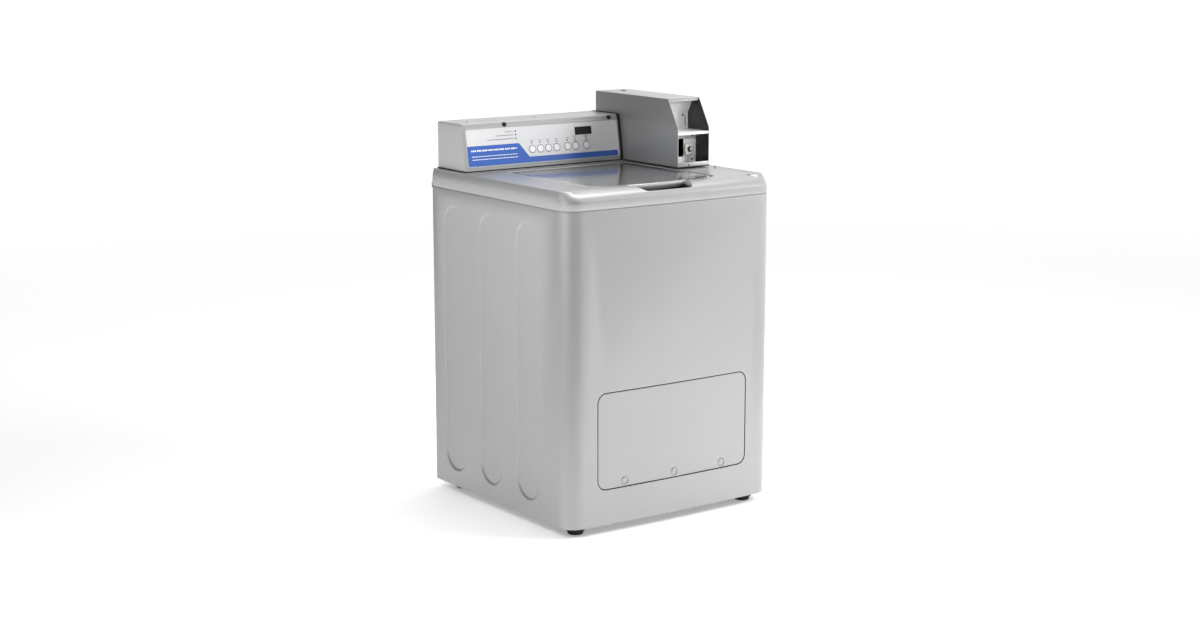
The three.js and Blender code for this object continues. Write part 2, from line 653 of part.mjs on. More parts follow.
function controlPanel() {
  const { left, right, low, high, thickness } = FACE;
  let panel = faceBlock(left + GAP, right - GAP, low + GAP, high - GAP, 8, -thickness, -GAP);
  const { left: windowLeft, right: windowRight, low: windowLow, high: windowHigh } = DISPLAY;
  panel = cut(panel, faceBlock(windowLeft, windowRight, windowLow, windowHigh, 1.5, -5, 5));
  for (const x of BUTTON_X) {
    panel = cut(panel, rod(x, BUTTON_HEIGHT_ON_FACE, -5, 5, BUTTON_RADIUS + GAP, BUTTON_RADIUS + GAP, 14));
  }
  return panel;
}

function displayWindow() {
  const { left, right, low, high } = DISPLAY;
  return faceBlock(left + GAP, right - GAP, low + GAP, high - GAP, 1.3, -FACE.thickness, -0.6);
}

// A button's cap stands 2 mm proud; its collar behind the panel keeps it in.
function button() {
  const outline = [
    [0, -9], [4, -9], [4, -7], [11.5, -7], [11.5, -4.8],
    [9.7, -4.8], [9.7, 1.2], [8.9, 2], [0, 2],
  ];
  const points = outline.map(([radius, height]) => new THREE.Vector2(radius, height));
  return solid(new THREE.LatheGeometry(points, 14), new THREE.Matrix4().makeRotationX(Math.PI / 2));
}

function controlBoard() {
  const board = faceBlock(-150, 150, 25, 112, 2, -15, -13);
  const relays = faceBlock(-140, -90, 70, 105, 1, -25, -14.9);
  const transformer = faceBlock(110, 140, 40, 90, 1, -30, -14.9);
  return union(board, relays, transformer);
}

function plug() {
  const outline = [
    [0, -9], [3.1, -9], [3.1, 0.3], [PLUG_RADIUS, 0.3], [PLUG_RADIUS, 2.4], [5, 4.3], [0, 4.8],
  ];
  const points = outline.map(([radius, height]) => new THREE.Vector2(radius, height));
  return solid(new THREE.LatheGeometry(points, 14), new THREE.Matrix4().makeRotationX(Math.PI / 2));
}

addPart('console_housing', consoleHousing(), PAINT);
addPart('control_panel', controlPanel(), OVERLAY, faceGroup);
addPart('display_window', displayWindow(), DARK_GLASS, faceGroup);
addPart('control_board', controlBoard(), BOARD_GREEN, faceGroup);
BUTTON_X.forEach((x, i) => {
  addPart(`button_${i + 1}`, button().translate([x, BUTTON_HEIGHT_ON_FACE, 0]), WHITE_PLASTIC, faceGroup);
});
addPart('plug_left', plug().translate([PLUG_X[0], PLUG_HEIGHT_ON_FACE, 0]), BLACK_PLASTIC, faceGroup);
addPart('plug_right', plug().translate([PLUG_X[1], PLUG_HEIGHT_ON_FACE, 0]), BLACK_PLASTIC, faceGroup);

// ---------------------------------------------------------------- coin-meter case

function meterProfile(inset, bottom, top) {
  return polygon([
    [METER_FRONT_Y, bottom], [METER_FRONT_Y, METER_KNEE], [METER_SLANT_Y, top],
    [METER_BACK_Y - inset, top], [METER_BACK_Y - inset, bottom],
  ]);
}

function meterCase() {
  const bottom = RIDGE_TOP + GAP;
  const top = METER_TOP - METER_SHEET - GAP;
  const outer = prismX(meterProfile(0, bottom, top), METER_LEFT, METER_RIGHT);
  const inside = polygon([
    [METER_FRONT_Y - 5, bottom + 14], [METER_FRONT_Y - 5, top + 5],
    [METER_BACK_Y - METER_SHEET, top + 5], [METER_BACK_Y - METER_SHEET, bottom + METER_SHEET],
    [METER_FRONT_Y + METER_SHEET, bottom + METER_SHEET], [METER_FRONT_Y + METER_SHEET, bottom + 14],
  ]);
  return cut(outer, prismX(inside, METER_LEFT + METER_SHEET, METER_RIGHT - METER_SHEET));
}

// Top door: a flat plate with a turned-down front lip, hinged along its front edge.
function meterDoor() {
  const low = METER_TOP - METER_SHEET;
  const plate = box(METER_LEFT, METER_RIGHT, METER_SLANT_Y, METER_BACK_Y, low, METER_TOP);
  const sides = METER_SHEET + GAP;
  const lip = box(
    METER_LEFT + sides, METER_RIGHT - sides, METER_SLANT_Y + 2, METER_SLANT_Y + 3.5, low - 8, low + 1);
  const lock = rod(DOOR_LOCK.x, DOOR_LOCK.y, low - 5, METER_TOP + 5, DOOR_LOCK.radius - 1.5);
  return cut(union(plate, lip), lock);
}

function doorLock() {
  const { x, y, radius } = DOOR_LOCK;
  const outline = [
    [0, METER_TOP - 24], [radius - 1.8, METER_TOP - 24], [radius - 1.8, METER_TOP + GAP],
    [radius, METER_TOP + GAP], [radius, METER_TOP + 2], [radius - 1.5, METER_TOP + 3.2], [0, METER_TOP + 3.2],
  ];
  const barrel = turned(outline, 20, x, y);
  const cam = box(x - 6, x + 6, y - 6, y + 28, METER_TOP - 26, METER_TOP - 23.5);
  const keyway = box(x - 1, x + 1, y - 4.5, y + 4.5, METER_TOP - 3, METER_TOP + 4);
  return cut(union(barrel, cam), keyway);
}

// Slide back plate, bent forward above and bent into the shelf between the bays below.
function coinBracket() {
  const path = [
    [METER_FRONT_Y + 0.5, SHELF_TOP - 7], [METER_FRONT_Y + 0.5, SHELF_TOP],
    [22, SHELF_TOP], [23.5, 1058], [4, 1092],
  ];
  const left = METER_LEFT + METER_SHEET + GAP;
  const right = METER_RIGHT - METER_SHEET - GAP;
  const sheet = prismX(sheetOutline(path, -METER_SHEET), left, right);
  const slot = box(306, 309.5, 10, 40, 1020, 1046);
  const hole = prismY(polygon([[294, 1049], [302, 1058], [304, 1048]]), 0, 40);
  const mouth = box(238, 246, 10, 40, 1024, 1054);
  return cut(sheet, slot, hole, mouth);
}

function vaultPlate() {
  const left = METER_LEFT + METER_SHEET + GAP;
  const right = METER_RIGHT - METER_SHEET - GAP;
  const low = RIDGE_TOP + METER_SHEET + 2 * GAP;
  const high = SHELF_TOP - METER_SHEET - 2 * GAP;
  const plate = box(left, right, VAULT_PLATE_Y, VAULT_PLATE_Y + METER_SHEET, low, high);
  const window = box(left + 5, VAULT_LOCK.x - 14, VAULT_PLATE_Y - 1, VAULT_PLATE_Y + 5, 938, 989);
  const lockHole = rodY(VAULT_PLATE_Y - 1, VAULT_PLATE_Y + 5, VAULT_LOCK.x, VAULT_LOCK.z, 8.5);
  return cut(plate, window, lockHole);
}

function lockCollar() {
  const { x, z, width, height, depth } = VAULT_LOCK;
  const outline = roundedRect(x - width / 2, x + width / 2, z - height / 2, z + height / 2, 8);
  const collar = prismY(outline, VAULT_PLATE_Y - GAP - depth, VAULT_PLATE_Y - GAP, 4);
  return cut(collar, rodY(VAULT_PLATE_Y - 30, VAULT_PLATE_Y + 5, x, z, 8.5));
}

function lockPlug() {
  const { x, z, depth } = VAULT_LOCK;
  const front = VAULT_PLATE_Y - depth - GAP - 1;
  const plugBody = rodY(front, VAULT_PLATE_Y + 14, x, z, 8.2);
  const cam = box(x - 5, x + 5, VAULT_PLATE_Y + 9, VAULT_PLATE_Y + 12, z - 6, z + 22);
  return cut(union(plugBody, cam), box(x - 0.9, x + 0.9, front - 1, front + 4, z - 4, z + 4));
}

addPart('meter_case', meterCase(), METER_STEEL);
addPart('meter_door', meterDoor(), STAINLESS);
addPart('meter_door_lock', doorLock(), STAINLESS);
addPart('coin_bracket', coinBracket(), STAINLESS);
addPart('vault_plate', vaultPlate(), METER_STEEL);
addPart('vault_lock_collar', lockCollar(), WHITE_PLASTIC);
addPart('vault_lock_plug', lockPlug(), STAINLESS);

// ---------------------------------------------------------------- tub and drive

// Outer tub with an ear at each corner that the suspension spring pushes up on.
function outerTub() {
  const inner = TUB_RADIUS - TUB_WALL;
  const outline = [
    [44, TUB_FLOOR], [TUB_RADIUS - 20, TUB_FLOOR], [TUB_RADIUS, TUB_FLOOR + 25], [TUB_RADIUS, TUB_RIM],
    [inner, TUB_RIM], [inner, TUB_FLOOR + 27], [TUB_RADIUS - 22, TUB_FLOOR + TUB_WALL],
    [44, TUB_FLOOR + TUB_WALL],
  ];
  let tub = turned(outline, 36);
  const core = rod(0, 0, TUB_FLOOR - 20, TUB_RIM + 20, inner + 1.5, inner + 1.5, 36);
  const earLow = SPRING_HIGH + GAP;
  for (const [x, y] of rodPlaces) {
    const length = Math.hypot(x, y) + 18;
    const turn = new THREE.Matrix4().makeRotationZ(Math.atan2(y, x));
    const bar = new THREE.BoxGeometry(length, 40, 14).translate(length / 2, 0, earLow + 7);
    const ear = solid(bar, turn);
    tub = union(tub, cut(ear, core));
    tub = cut(tub, rod(x, y, earLow - 5, earLow + 20, 7, 7, 12));
  }
  return tub;
}

function tubCover() {
  return turned([
    [228, TUB_RIM - 10], [231, TUB_RIM - 10], [231, TUB_RIM + 4], [TUB_RADIUS + 4, TUB_RIM + GAP],
    [TUB_RADIUS + 4, TUB_RIM + 4], [231, TUB_RIM + 9], [228, TUB_RIM + 9],
  ], 36);
}

function washBasket() {
  const inner = BASKET_RADIUS - BASKET_SHEET;
  const CHAMFER = 30;
  return turned([
    [62, BASKET_FLOOR], [BASKET_RADIUS - CHAMFER, BASKET_FLOOR], [BASKET_RADIUS, BASKET_FLOOR + CHAMFER],
    [BASKET_RADIUS, BASKET_RIM], [inner, BASKET_RIM], [inner, BASKET_FLOOR + CHAMFER + 0.5],
    [BASKET_RADIUS - CHAMFER - 0.5, BASKET_FLOOR + BASKET_SHEET], [62, BASKET_FLOOR + BASKET_SHEET],
  ], 36);
}

function balanceRing() {
  const low = BASKET_RIM + GAP;
  return turned([
    [236, low + 6], [240, low], [BASKET_RADIUS, low], [BASKET_RADIUS, low + 16],
    [BASKET_RADIUS - 6, low + 22], [240, low + 22], [236, low + 16],
  ], 36);
}

// Tube that carries the basket, with the cast hub that its floor is bolted to.
function spinTube() {
  const bore = SHAFT_RADIUS + 0.5;
  return turned([
    [bore, 292], [SPIN_TUBE_RADIUS, 292], [SPIN_TUBE_RADIUS, 322], [90, 328], [90, BASKET_FLOOR - GAP],
    [61, BASKET_FLOOR - GAP], [61, 350], [22, 358], [bore, 358],
  ], 20);
}

function gearcase() {
  const bore = SHAFT_RADIUS + 0.5;
  return turned([
    [bore, 132], [46, 132], [72, 150], [72, 210], [40, 226], [40, 262], [42, 290], [42, 308], [28, 312],
    [SPIN_TUBE_RADIUS + 0.4, 312], [SPIN_TUBE_RADIUS + 0.4, 290], [bore, 290],
  ], 20);
}

// Steel plate under the tub: the gearcase's neck passes it, and motor and pump hang from it.
function supportBracket() {
  const shape = roundedRect(-215, 215, -190, 150, 40);
  const plate = prismZ(shape, 266, 268.5, 4);
  const rails = [-90, 90].map((x) => box(x - 2, x + 2, -185, 145, 268, TUB_FLOOR - GAP));
  const neck = rod(0, 0, 250, 310, 42.8, 42.8, 32);
  return cut(union(plate, ...rails), neck);
}

function motor() {
  const { x, y } = MOTOR_PLACE;
  const outline = [
    [5.5, 138], [48, 138], [62, 150], [62, 236], [48, 248], [14, 248], [14, 265.6], [5.5, 265.6],
  ];
  return cut(turned(outline, 20, x, y), rod(x, y, 240, 300, 5.5, 5.5, 12));
}

function motorPulley() {
  const { x, y } = MOTOR_PLACE;
  const outline = [
    [0, 94], [MOTOR_PULLEY_RADIUS + 3, 94], [MOTOR_PULLEY_RADIUS + 3, PULLEY_LOW - 1],
    [MOTOR_PULLEY_RADIUS, PULLEY_LOW - 1], [MOTOR_PULLEY_RADIUS, PULLEY_HIGH + 1],
    [MOTOR_PULLEY_RADIUS + 3, PULLEY_HIGH + 1], [MOTOR_PULLEY_RADIUS + 3, 118], [5, 118], [5, 255], [0, 255],
  ];
  return turned(outline, 20, x, y);
}

function drivePulley() {
  const outline = [
    [SHAFT_RADIUS + 0.3, PULLEY_LOW - 4], [22, PULLEY_LOW - 4], [30, PULLEY_LOW + 4],
    [80, PULLEY_LOW + 4], [88, PULLEY_LOW - 4], [DRIVE_PULLEY_RADIUS, PULLEY_LOW - 4],
    [DRIVE_PULLEY_RADIUS, PULLEY_HIGH + 4], [88, PULLEY_HIGH + 4], [80, PULLEY_HIGH - 4],
    [30, PULLEY_HIGH - 4], [22, PULLEY_HIGH + 4], [SHAFT_RADIUS + 0.3, PULLEY_HIGH + 4],
  ];
  let pulley = turned(outline, 28);
  const SPOKES = 5;
  for (let i = 0; i < SPOKES; i += 1) {
    const turn = (i / SPOKES) * 2 * Math.PI;
    pulley = cut(pulley, rod(55 * Math.cos(turn), 55 * Math.sin(turn), 80, 130, 19, 19, 8));
  }
  return pulley;
}

// Flat belt on the outer tangents of both pulleys.
function driveBelt() {
  const { x, y } = MOTOR_PLACE;
  const distance = Math.hypot(x, y);
  const lean = Math.acos((DRIVE_PULLEY_RADIUS - MOTOR_PULLEY_RADIUS) / distance);
  const heading = Math.atan2(y, x);
  const loop = (offset) => {
    const shape = new THREE.Shape();
    shape.absarc(0, 0, DRIVE_PULLEY_RADIUS + offset, heading + lean, heading - lean + 2 * Math.PI);
    shape.absarc(x, y, MOTOR_PULLEY_RADIUS + offset, heading - lean, heading + lean);
    return shape;
  };
  const outside = prismZ(loop(4.5), PULLEY_LOW, PULLEY_HIGH, 8);
  return cut(outside, prismZ(loop(1.4), PULLEY_LOW - 1, PULLEY_HIGH + 1, 8));
}

function drainPump() {
  const volute = rod(140, -110, 196, 232, 42, 42, 28);
  const drive = rod(140, -110, 230, 265.6, 30, 30, 20);
  const outlet = rodX(140, 205, -76, 214, 13, 14);
  const inlet = rod(140, -110, 180, 200, 17, 17, 16);
  return cut(union(volute, drive, outlet, inlet), rodX(165, 210, -76, 214, 9.5, 14));
}

class Helix extends THREE.Curve {
  constructor(radius, low, high, turns) {
    super();
    Object.assign(this, { radius, low, high, turns });
  }

  getPoint(t) {
    const turn = t * this.turns * 2 * Math.PI;
    const height = this.low + (this.high - this.low) * t;
    return new THREE.Vector3(this.radius * Math.cos(turn), this.radius * Math.sin(turn), height);
  }
}

function suspensionSpring(x, y) {
  const WIRE = 2;
  const SIDES = 4;
  const TURNS = 6;
  const wire = new THREE.Shape();
  for (let i = 0; i < SIDES; i += 1) {
    const turn = (i / SIDES) * 2 * Math.PI;
    wire[i === 0 ? 'moveTo' : 'lineTo'](WIRE * Math.cos(turn), WIRE * Math.sin(turn));
  }
  const path = new Helix(14, SPRING_LOW + WIRE + GAP, SPRING_HIGH - WIRE - GAP, TURNS);
  const coil = new THREE.ExtrudeGeometry(wire, { steps: TURNS * 7, bevelEnabled: false, extrudePath: path });
  return solid(coil, new THREE.Matrix4().setPosition(x, y, 0));
}

function agitator() {
  const bore = SHAFT_RADIUS + 0.3;
  const body = turned([
    [bore, 372], [190, 366], [196, 372], [150, 392], [78, 430], [52, 500], [46, 600], [42, AGITATOR_TOP - 20],
    [34, AGITATOR_TOP], [20, AGITATOR_TOP + 6], [bore, AGITATOR_TOP + 6],
  ], 24);
  const fin = polygon([[30, 380], [188, 380], [182, 410], [120, 440], [74, 520], [62, 600], [30, 600]]);
  const FINS = 4;
  let whole = body;
  for (let i = 0; i < FINS; i += 1) {
    const blade = prismY(fin, -5, 5).rotate([0, 0, (360 * i) / FINS + 45]);
    whole = union(whole, blade);
  }
  const hollow = turned([
    [14, 360], [182, 360], [182, 368], [145, 388], [72, 426], [47, 500], [41, 600], [37, 655], [14, 655],
  ], 24);
  return cut(whole, hollow, rod(0, 0, 340, AGITATOR_TOP - 30, bore, bore, 20));
}

function driveShaft() {
  return rod(0, 0, 90, AGITATOR_TOP - 40, SHAFT_RADIUS, SHAFT_RADIUS, 20);
}

addPart('outer_tub', outerTub(), TUB_PLASTIC);
addPart('tub_cover', tubCover(), TUB_PLASTIC);
addPart('wash_basket', washBasket(), STAINLESS);
addPart('balance_ring', balanceRing(), WHITE_PLASTIC);
addPart('spin_tube', spinTube(), CAST);
addPart('gearcase', gearcase(), CAST);
addPart('support_bracket', supportBracket(), GALVANISED);
addPart('motor', motor(), CAST);
addPart('motor_pulley', motorPulley(), GALVANISED);
addPart('drive_pulley', drivePulley(), CAST);
addPart('drive_belt', driveBelt(), RUBBER);
addPart('drain_pump', drainPump(), BLACK_PLASTIC);
rodPlaces.forEach(([x, y], i) => {
  addPart(`suspension_spring_${CORNER_NAMES[i]}`, suspensionSpring(x, y), GALVANISED);
});
addPart('agitator', agitator(), WHITE_PLASTIC);
addPart('drive_shaft', driveShaft(), STAINLESS);

export default group;
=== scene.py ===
"""The looks of a top load washing machine with a coin-meter case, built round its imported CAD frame.

Lengths are in metres unless a name says mm. +Z is up and the front faces -Y.
"""

import math

import bmesh
import bpy
from mathutils import Matrix, Vector


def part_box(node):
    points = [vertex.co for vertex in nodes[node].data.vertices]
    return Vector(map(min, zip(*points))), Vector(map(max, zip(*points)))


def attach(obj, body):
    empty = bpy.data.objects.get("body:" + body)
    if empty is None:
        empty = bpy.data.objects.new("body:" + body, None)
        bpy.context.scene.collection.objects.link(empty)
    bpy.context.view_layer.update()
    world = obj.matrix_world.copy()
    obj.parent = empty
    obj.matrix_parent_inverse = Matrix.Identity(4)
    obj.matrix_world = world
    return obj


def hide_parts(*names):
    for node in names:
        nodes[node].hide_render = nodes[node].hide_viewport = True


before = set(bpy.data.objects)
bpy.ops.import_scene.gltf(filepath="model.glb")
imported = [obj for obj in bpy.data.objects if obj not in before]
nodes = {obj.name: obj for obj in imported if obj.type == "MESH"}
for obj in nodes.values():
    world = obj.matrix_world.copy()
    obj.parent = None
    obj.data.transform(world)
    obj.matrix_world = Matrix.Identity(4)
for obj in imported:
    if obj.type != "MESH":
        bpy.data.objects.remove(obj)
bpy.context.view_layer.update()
scene = bpy.context.scene
MM = 0.001

# ---------------------------------------------------------------- places, from the frame

CABINET_LOW, CABINET_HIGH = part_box("cabinet_shell")
COVER_LOW, COVER_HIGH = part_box("top_cover")
PANEL_LOW, PANEL_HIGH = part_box("access_panel")
LID_LOW, LID_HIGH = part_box("lid")
CONSOLE_LOW, CONSOLE_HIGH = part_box("console_housing")
METER_LOW, METER_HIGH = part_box("meter_case")
DOOR_LOW, DOOR_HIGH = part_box("meter_door")
FRONT_Y = CABINET_LOW.y
HALF_WIDTH = CABINET_HIGH.x
FRONT_BOW = 8.5 * MM
CORNER_RADIUS = 50 * MM
FLAT_REACH = HALF_WIDTH - CORNER_RADIUS
ACCESS_GAP = 2 * MM
RIDGE_TOP = COVER_HIGH.z
DECK_TOP = RIDGE_TOP - 3 * MM
FACE_LEAN = math.atan2(21, 130)
FACE_BASE = Vector((0, CONSOLE_LOW.y, RIDGE_TOP))
ARC_STEPS = 12
BOW_COLUMNS = 24


def bow(x, inset=0.0):
    """How far back the bowed front stands at x."""
    return FRONT_Y + inset + FRONT_BOW * (x / HALF_WIDTH) ** 2


# ---------------------------------------------------------------- materials

class Shader:
    """A material's node tree, with short calls that add and join nodes."""

    def __init__(self, name):
        self.material = bpy.data.materials.new(name)
        self.material.use_nodes = True
        self.tree = self.material.node_tree
        self.surface = self.tree.nodes["Principled BSDF"]
        self.place = self.tree.nodes.new("ShaderNodeTexCoord").outputs["Object"]

    def join(self, source, target):
        self.tree.links.new(source, target)

    def set(self, **values):
        for key, value in values.items():
            self.surface.inputs[key.replace("_", " ")].default_value = value

    def stretched(self, x, y, z):
        mapping = self.tree.nodes.new("ShaderNodeMapping")
        mapping.inputs["Scale"].default_value = (x, y, z)
        self.join(self.place, mapping.inputs["Vector"])
        return mapping.outputs["Vector"]

    def noise(self, scale, detail=3.0, roughness=0.5, place=None):
        node = self.tree.nodes.new("ShaderNodeTexNoise")
        node.inputs["Scale"].default_value = scale
        node.inputs["Detail"].default_value = detail
        node.inputs["Roughness"].default_value = roughness
        self.join(place or self.place, node.inputs["Vector"])
        return node.outputs["Fac"]

    def voronoi(self, scale):
        node = self.tree.nodes.new("ShaderNodeTexVoronoi")
        node.inputs["Scale"].default_value = scale
        self.join(self.place, node.inputs["Vector"])
        return node.outputs["Color"]

    def remap(self, value, low, high, start=0.0, end=1.0):
        node = self.tree.nodes.new("ShaderNodeMapRange")
        for key, number in zip(("From Min", "From Max", "To Min", "To Max"), (start, end, low, high)):
            node.inputs[key].default_value = number
        self.join(value, node.inputs["Value"])
        return node.outputs["Result"]

    def blend(self, factor, first, second):
        node = self.tree.nodes.new("ShaderNodeMix")
        node.data_type = "RGBA"
        self.join(factor, node.inputs["Factor"])
        for socket, value in ((node.inputs["A"], first), (node.inputs["B"], second)):
            if isinstance(value, tuple):
                socket.default_value = (*value, 1)
            else:
                self.join(value, socket)
        return node.outputs["Result"]

    def colour(self, value):
        self.join(value, self.surface.inputs["Base Color"])

    def roughness(self, value):
        self.join(value, self.surface.inputs["Roughness"])

    def bump(self, height, strength, distance):
        node = self.tree.nodes.new("ShaderNodeBump")
        node.inputs["Strength"].default_value = strength
        node.inputs["Distance"].default_value = distance
        self.join(height, node.inputs["Height"])
        if self.surface.inputs["Normal"].is_linked:
            self.join(self.surface.inputs["Normal"].links[0].from_socket, node.inputs["Normal"])
        self.join(node.outputs["Normal"], self.surface.inputs["Normal"])


def scaled(colour, factor):
    return tuple(min(1.0, channel * factor) for channel in colour)


def paint(name, colour, roughness, metallic=0.35, coat=0.25):
    """Sprayed metallic paint: faint flake, slow tone drift and orange peel under a clear coat."""
    shader = Shader(name)
    shader.set(Metallic=metallic, Coat_Weight=coat, Coat_Roughness=0.12)
    flake = shader.remap(shader.noise(2600, 1), 0.0, 1.0, 0.35, 0.65)
    drift = shader.remap(shader.noise(2.2, 2), 0.0, 1.0, 0.3, 0.7)
    fine = shader.blend(flake, scaled(colour, 0.965), scaled(colour, 1.035))
    tone = shader.blend(drift, scaled(colour, 0.98), scaled(colour, 1.02))
    mixed = shader.tree.nodes.new("ShaderNodeMix")
    mixed.data_type = "RGBA"
    mixed.inputs["Factor"].default_value = 0.5
    shader.join(fine, mixed.inputs["A"])
    shader.join(tone, mixed.inputs["B"])
    shader.colour(mixed.outputs["Result"])
    smear = shader.noise(14, 4, 0.6)
    shader.roughness(shader.remap(smear, roughness * 0.9, roughness * 1.12))
    shader.bump(shader.noise(420, 2), 0.05, 0.0002)
    return shader.material


def brushed(name, colour, roughness, along=(1, 1, 1), metallic=0.95, depth=0.12):
    """Metal with fine scratches; a small number in along gives the direction that they run."""
    shader = Shader(name)
    shader.set(Metallic=metallic)
    grain = shader.noise(420, 4, 0.65, shader.stretched(*along))
    shader.colour(shader.blend(grain, scaled(colour, 0.86), scaled(colour, 1.08)))
    shader.roughness(shader.remap(grain, roughness * 0.75, roughness * 1.35))
    shader.bump(grain, depth, 0.0001)
    return shader.material


def zinc(name, colour):
    """Galvanised sheet with its crystal spangle."""
    shader = Shader(name)
    shader.set(Metallic=0.85)
    spangle = shader.voronoi(90)
    grey = shader.tree.nodes.new("ShaderNodeRGBToBW")
    shader.join(spangle, grey.inputs["Color"])
    shader.colour(shader.blend(grey.outputs["Val"], scaled(colour, 0.82), scaled(colour, 1.12)))
    shader.roughness(shader.remap(grey.outputs["Val"], 0.3, 0.5))
    shader.bump(shader.noise(300, 3), 0.08, 0.0001)
    return shader.material


def cast(name, colour):
    """Sand-cast metal: pitted and dull."""
    shader = Shader(name)
    shader.set(Metallic=0.7)
    skin = shader.noise(700, 5, 0.7)
    shader.colour(shader.blend(shader.noise(30, 4), scaled(colour, 0.8), scaled(colour, 1.1)))
    shader.roughness(shader.remap(skin, 0.45, 0.7))
    shader.bump(skin, 0.4, 0.0003)
    return shader.material


def moulded(name, colour, roughness, texture=0.1, specular=0.5):
    """Moulded plastic or rubber with a fine spark-eroded skin and light scuffing."""
    shader = Shader(name)
    shader.set(Specular_IOR_Level=specular)
    skin = shader.noise(1500, 2)
    scuff = shader.noise(24, 5, 0.65)
    shader.colour(shader.blend(scuff, scaled(colour, 0.93), scaled(colour, 1.06)))
    shader.roughness(shader.remap(scuff, roughness * 0.88, min(1.0, roughness * 1.15)))
    shader.bump(skin, texture, 0.0002)
    return shader.material


def printed(name, colour, roughness=0.2, coat=0.6):
    """A glossy printed film: even ink, a little mottle, and a film's slow ripple."""
    shader = Shader(name)
    shader.set(Coat_Weight=coat, Coat_Roughness=0.06)
    mottle = shader.noise(260, 3)
    shader.colour(shader.blend(mottle, scaled(colour, 0.97), scaled(colour, 1.03)))
    shader.roughness(shader.remap(mottle, roughness * 0.9, roughness * 1.1))
    shader.bump(shader.noise(18, 2), 0.05, 0.0006)
    return shader.material


PAINT = paint("cabinet_grey", (0.43, 0.432, 0.435), 0.40, metallic=0.55, coat=0.15)
COVER_PAINT = paint("cover_grey", (0.43, 0.432, 0.435), 0.32, metallic=0.55, coat=0.15)
LID_PAINT = paint("lid_grey", (0.46, 0.462, 0.465), 0.15, metallic=0.7, coat=0.6)
CONSOLE_PAINT = paint("console_grey", (0.42, 0.422, 0.425), 0.40, metallic=0.35)
METER_PAINT = paint("meter_grey", (0.29, 0.292, 0.295), 0.42, metallic=0.5)
# Near-black metal for the meter case's inner faces: painted shade inside the case.
METER_INSIDE_SHADE = brushed("meter_inside_shade", (0.10, 0.10, 0.105), 0.45, (1, 1, 0.03))
DOOR_STEEL = brushed("door_steel", (0.50, 0.50, 0.505), 0.4, (0.05, 1, 1), 0.6)
PLATE = brushed("bright_plate", (0.93, 0.93, 0.93), 0.35, (1, 1, 0.1), 0.15, 0.05)
BRIGHT = brushed("bright_sheet", (0.86, 0.86, 0.86), 0.3, (0.05, 1, 1))
CHROME = brushed("polished_lock", (0.72, 0.72, 0.73), 0.16, depth=0.04)
STAINLESS = brushed("stainless", (0.66, 0.67, 0.68), 0.24, (1, 1, 0.04))
SPRING = brushed("spring_wire", (0.30, 0.30, 0.32), 0.35)
ZINC = zinc("zinc", (0.50, 0.51, 0.52))
CAST = cast("cast", (0.40, 0.40, 0.41))
# Black rubber for the feet, belt and foam; the same material is painted shade in the access-panel gap, screw
# recesses and key slots.
RUBBER_AND_SHADE = moulded("rubber", (0.018, 0.018, 0.018), 0.7, 0.35, 0.3)
# Black plastic for plugs, clips and small parts; the same material is painted shade inside the finger
# pocket.
BLACK_AND_SHADE = moulded("black_plastic", (0.012, 0.012, 0.013), 0.38)
WHITE = moulded("white_plastic", (0.82, 0.82, 0.80), 0.42)
BUTTON = moulded("button_white", (0.80, 0.80, 0.82), 0.25, 0.03)
TUB = moulded("tub_plastic", (0.60, 0.61, 0.60), 0.5, 0.25)
SILVER_FILM = printed("silver_film", (0.62, 0.625, 0.635), 0.2)
BLUE_FILM = printed("blue_film", (0.035, 0.11, 0.42), 0.14)
EDGE_FILM = printed("edge_film", (0.30, 0.28, 0.22))
WHITE_INK = printed("white_ink", (0.85, 0.87, 0.92))
GREY_INK = printed("grey_ink", (0.03, 0.03, 0.035))
WINDOW = printed("display_window", (0.004, 0.004, 0.005), 0.3, 0.1)
DIGITS = printed("unlit_digits", (0.035, 0.035, 0.04), 0.3)
BOARD = moulded("circuit_board", (0.03, 0.18, 0.07), 0.4)


# ---------------------------------------------------------------- making pieces

def finish_piece(name, mesh, materials, body, replaced=(), angle=32):
    """Puts a mesh in the scene as a piece: smooth but for its creases, riding on its body."""
    for polygon in mesh.polygons:
        polygon.use_smooth = True
    mesh.set_sharp_from_angle(angle=math.radians(angle))
    for material in materials:
        mesh.materials.append(material)
    piece = bpy.data.objects.new(name, mesh)
    scene.collection.objects.link(piece)
    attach(piece, body)
    if replaced:
        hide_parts(*replaced)
    return piece


def piece_from(bm, name, materials, body, replaced=(), angle=32):
    mesh = bpy.data.meshes.new(name)
    bm.to_mesh(mesh)
    bm.free()
    return finish_piece(name, mesh, materials, body, replaced, angle)


def placed(name, bm, material):
    """Puts a mesh in the scene as it is, without a body."""
    mesh = bpy.data.meshes.new(name)
    bm.to_mesh(mesh)
    bm.free()
    mesh.materials.append(material)
    item = bpy.data.objects.new(name, mesh)
    scene.collection.objects.link(item)
    return item


def applied(piece):
    """Bakes a piece's modifiers into its mesh."""
    graph = bpy.context.evaluated_depsgraph_get()
    mesh = bpy.data.meshes.new_from_object(piece.evaluated_get(graph))
    old = piece.data
    piece.modifiers.clear()
    piece.data = mesh
    bpy.data.meshes.remove(old)
    return piece


def bevelled(piece, width, segments=3, angle=40):
    modifier = piece.modifiers.new("bevel", "BEVEL")
    modifier.width = width
    modifier.segments = segments
    modifier.limit_method = "ANGLE"
    modifier.angle_limit = math.radians(angle)
    modifier.harden_normals = False
    applied(piece)
    piece.data.set_sharp_from_angle(angle=math.radians(angle))
    return piece


def thickened(piece, thickness):
    modifier = piece.modifiers.new("sheet", "SOLIDIFY")
    modifier.thickness = thickness
    modifier.offset = -1
    return applied(piece)


def subtracted(piece, tool):
    modifier = piece.modifiers.new("cut", "BOOLEAN")
    modifier.operation = "DIFFERENCE"
    modifier.solver = "MANIFOLD"
    modifier.object = tool
    applied(piece)
    bpy.data.objects.remove(tool)
    return piece


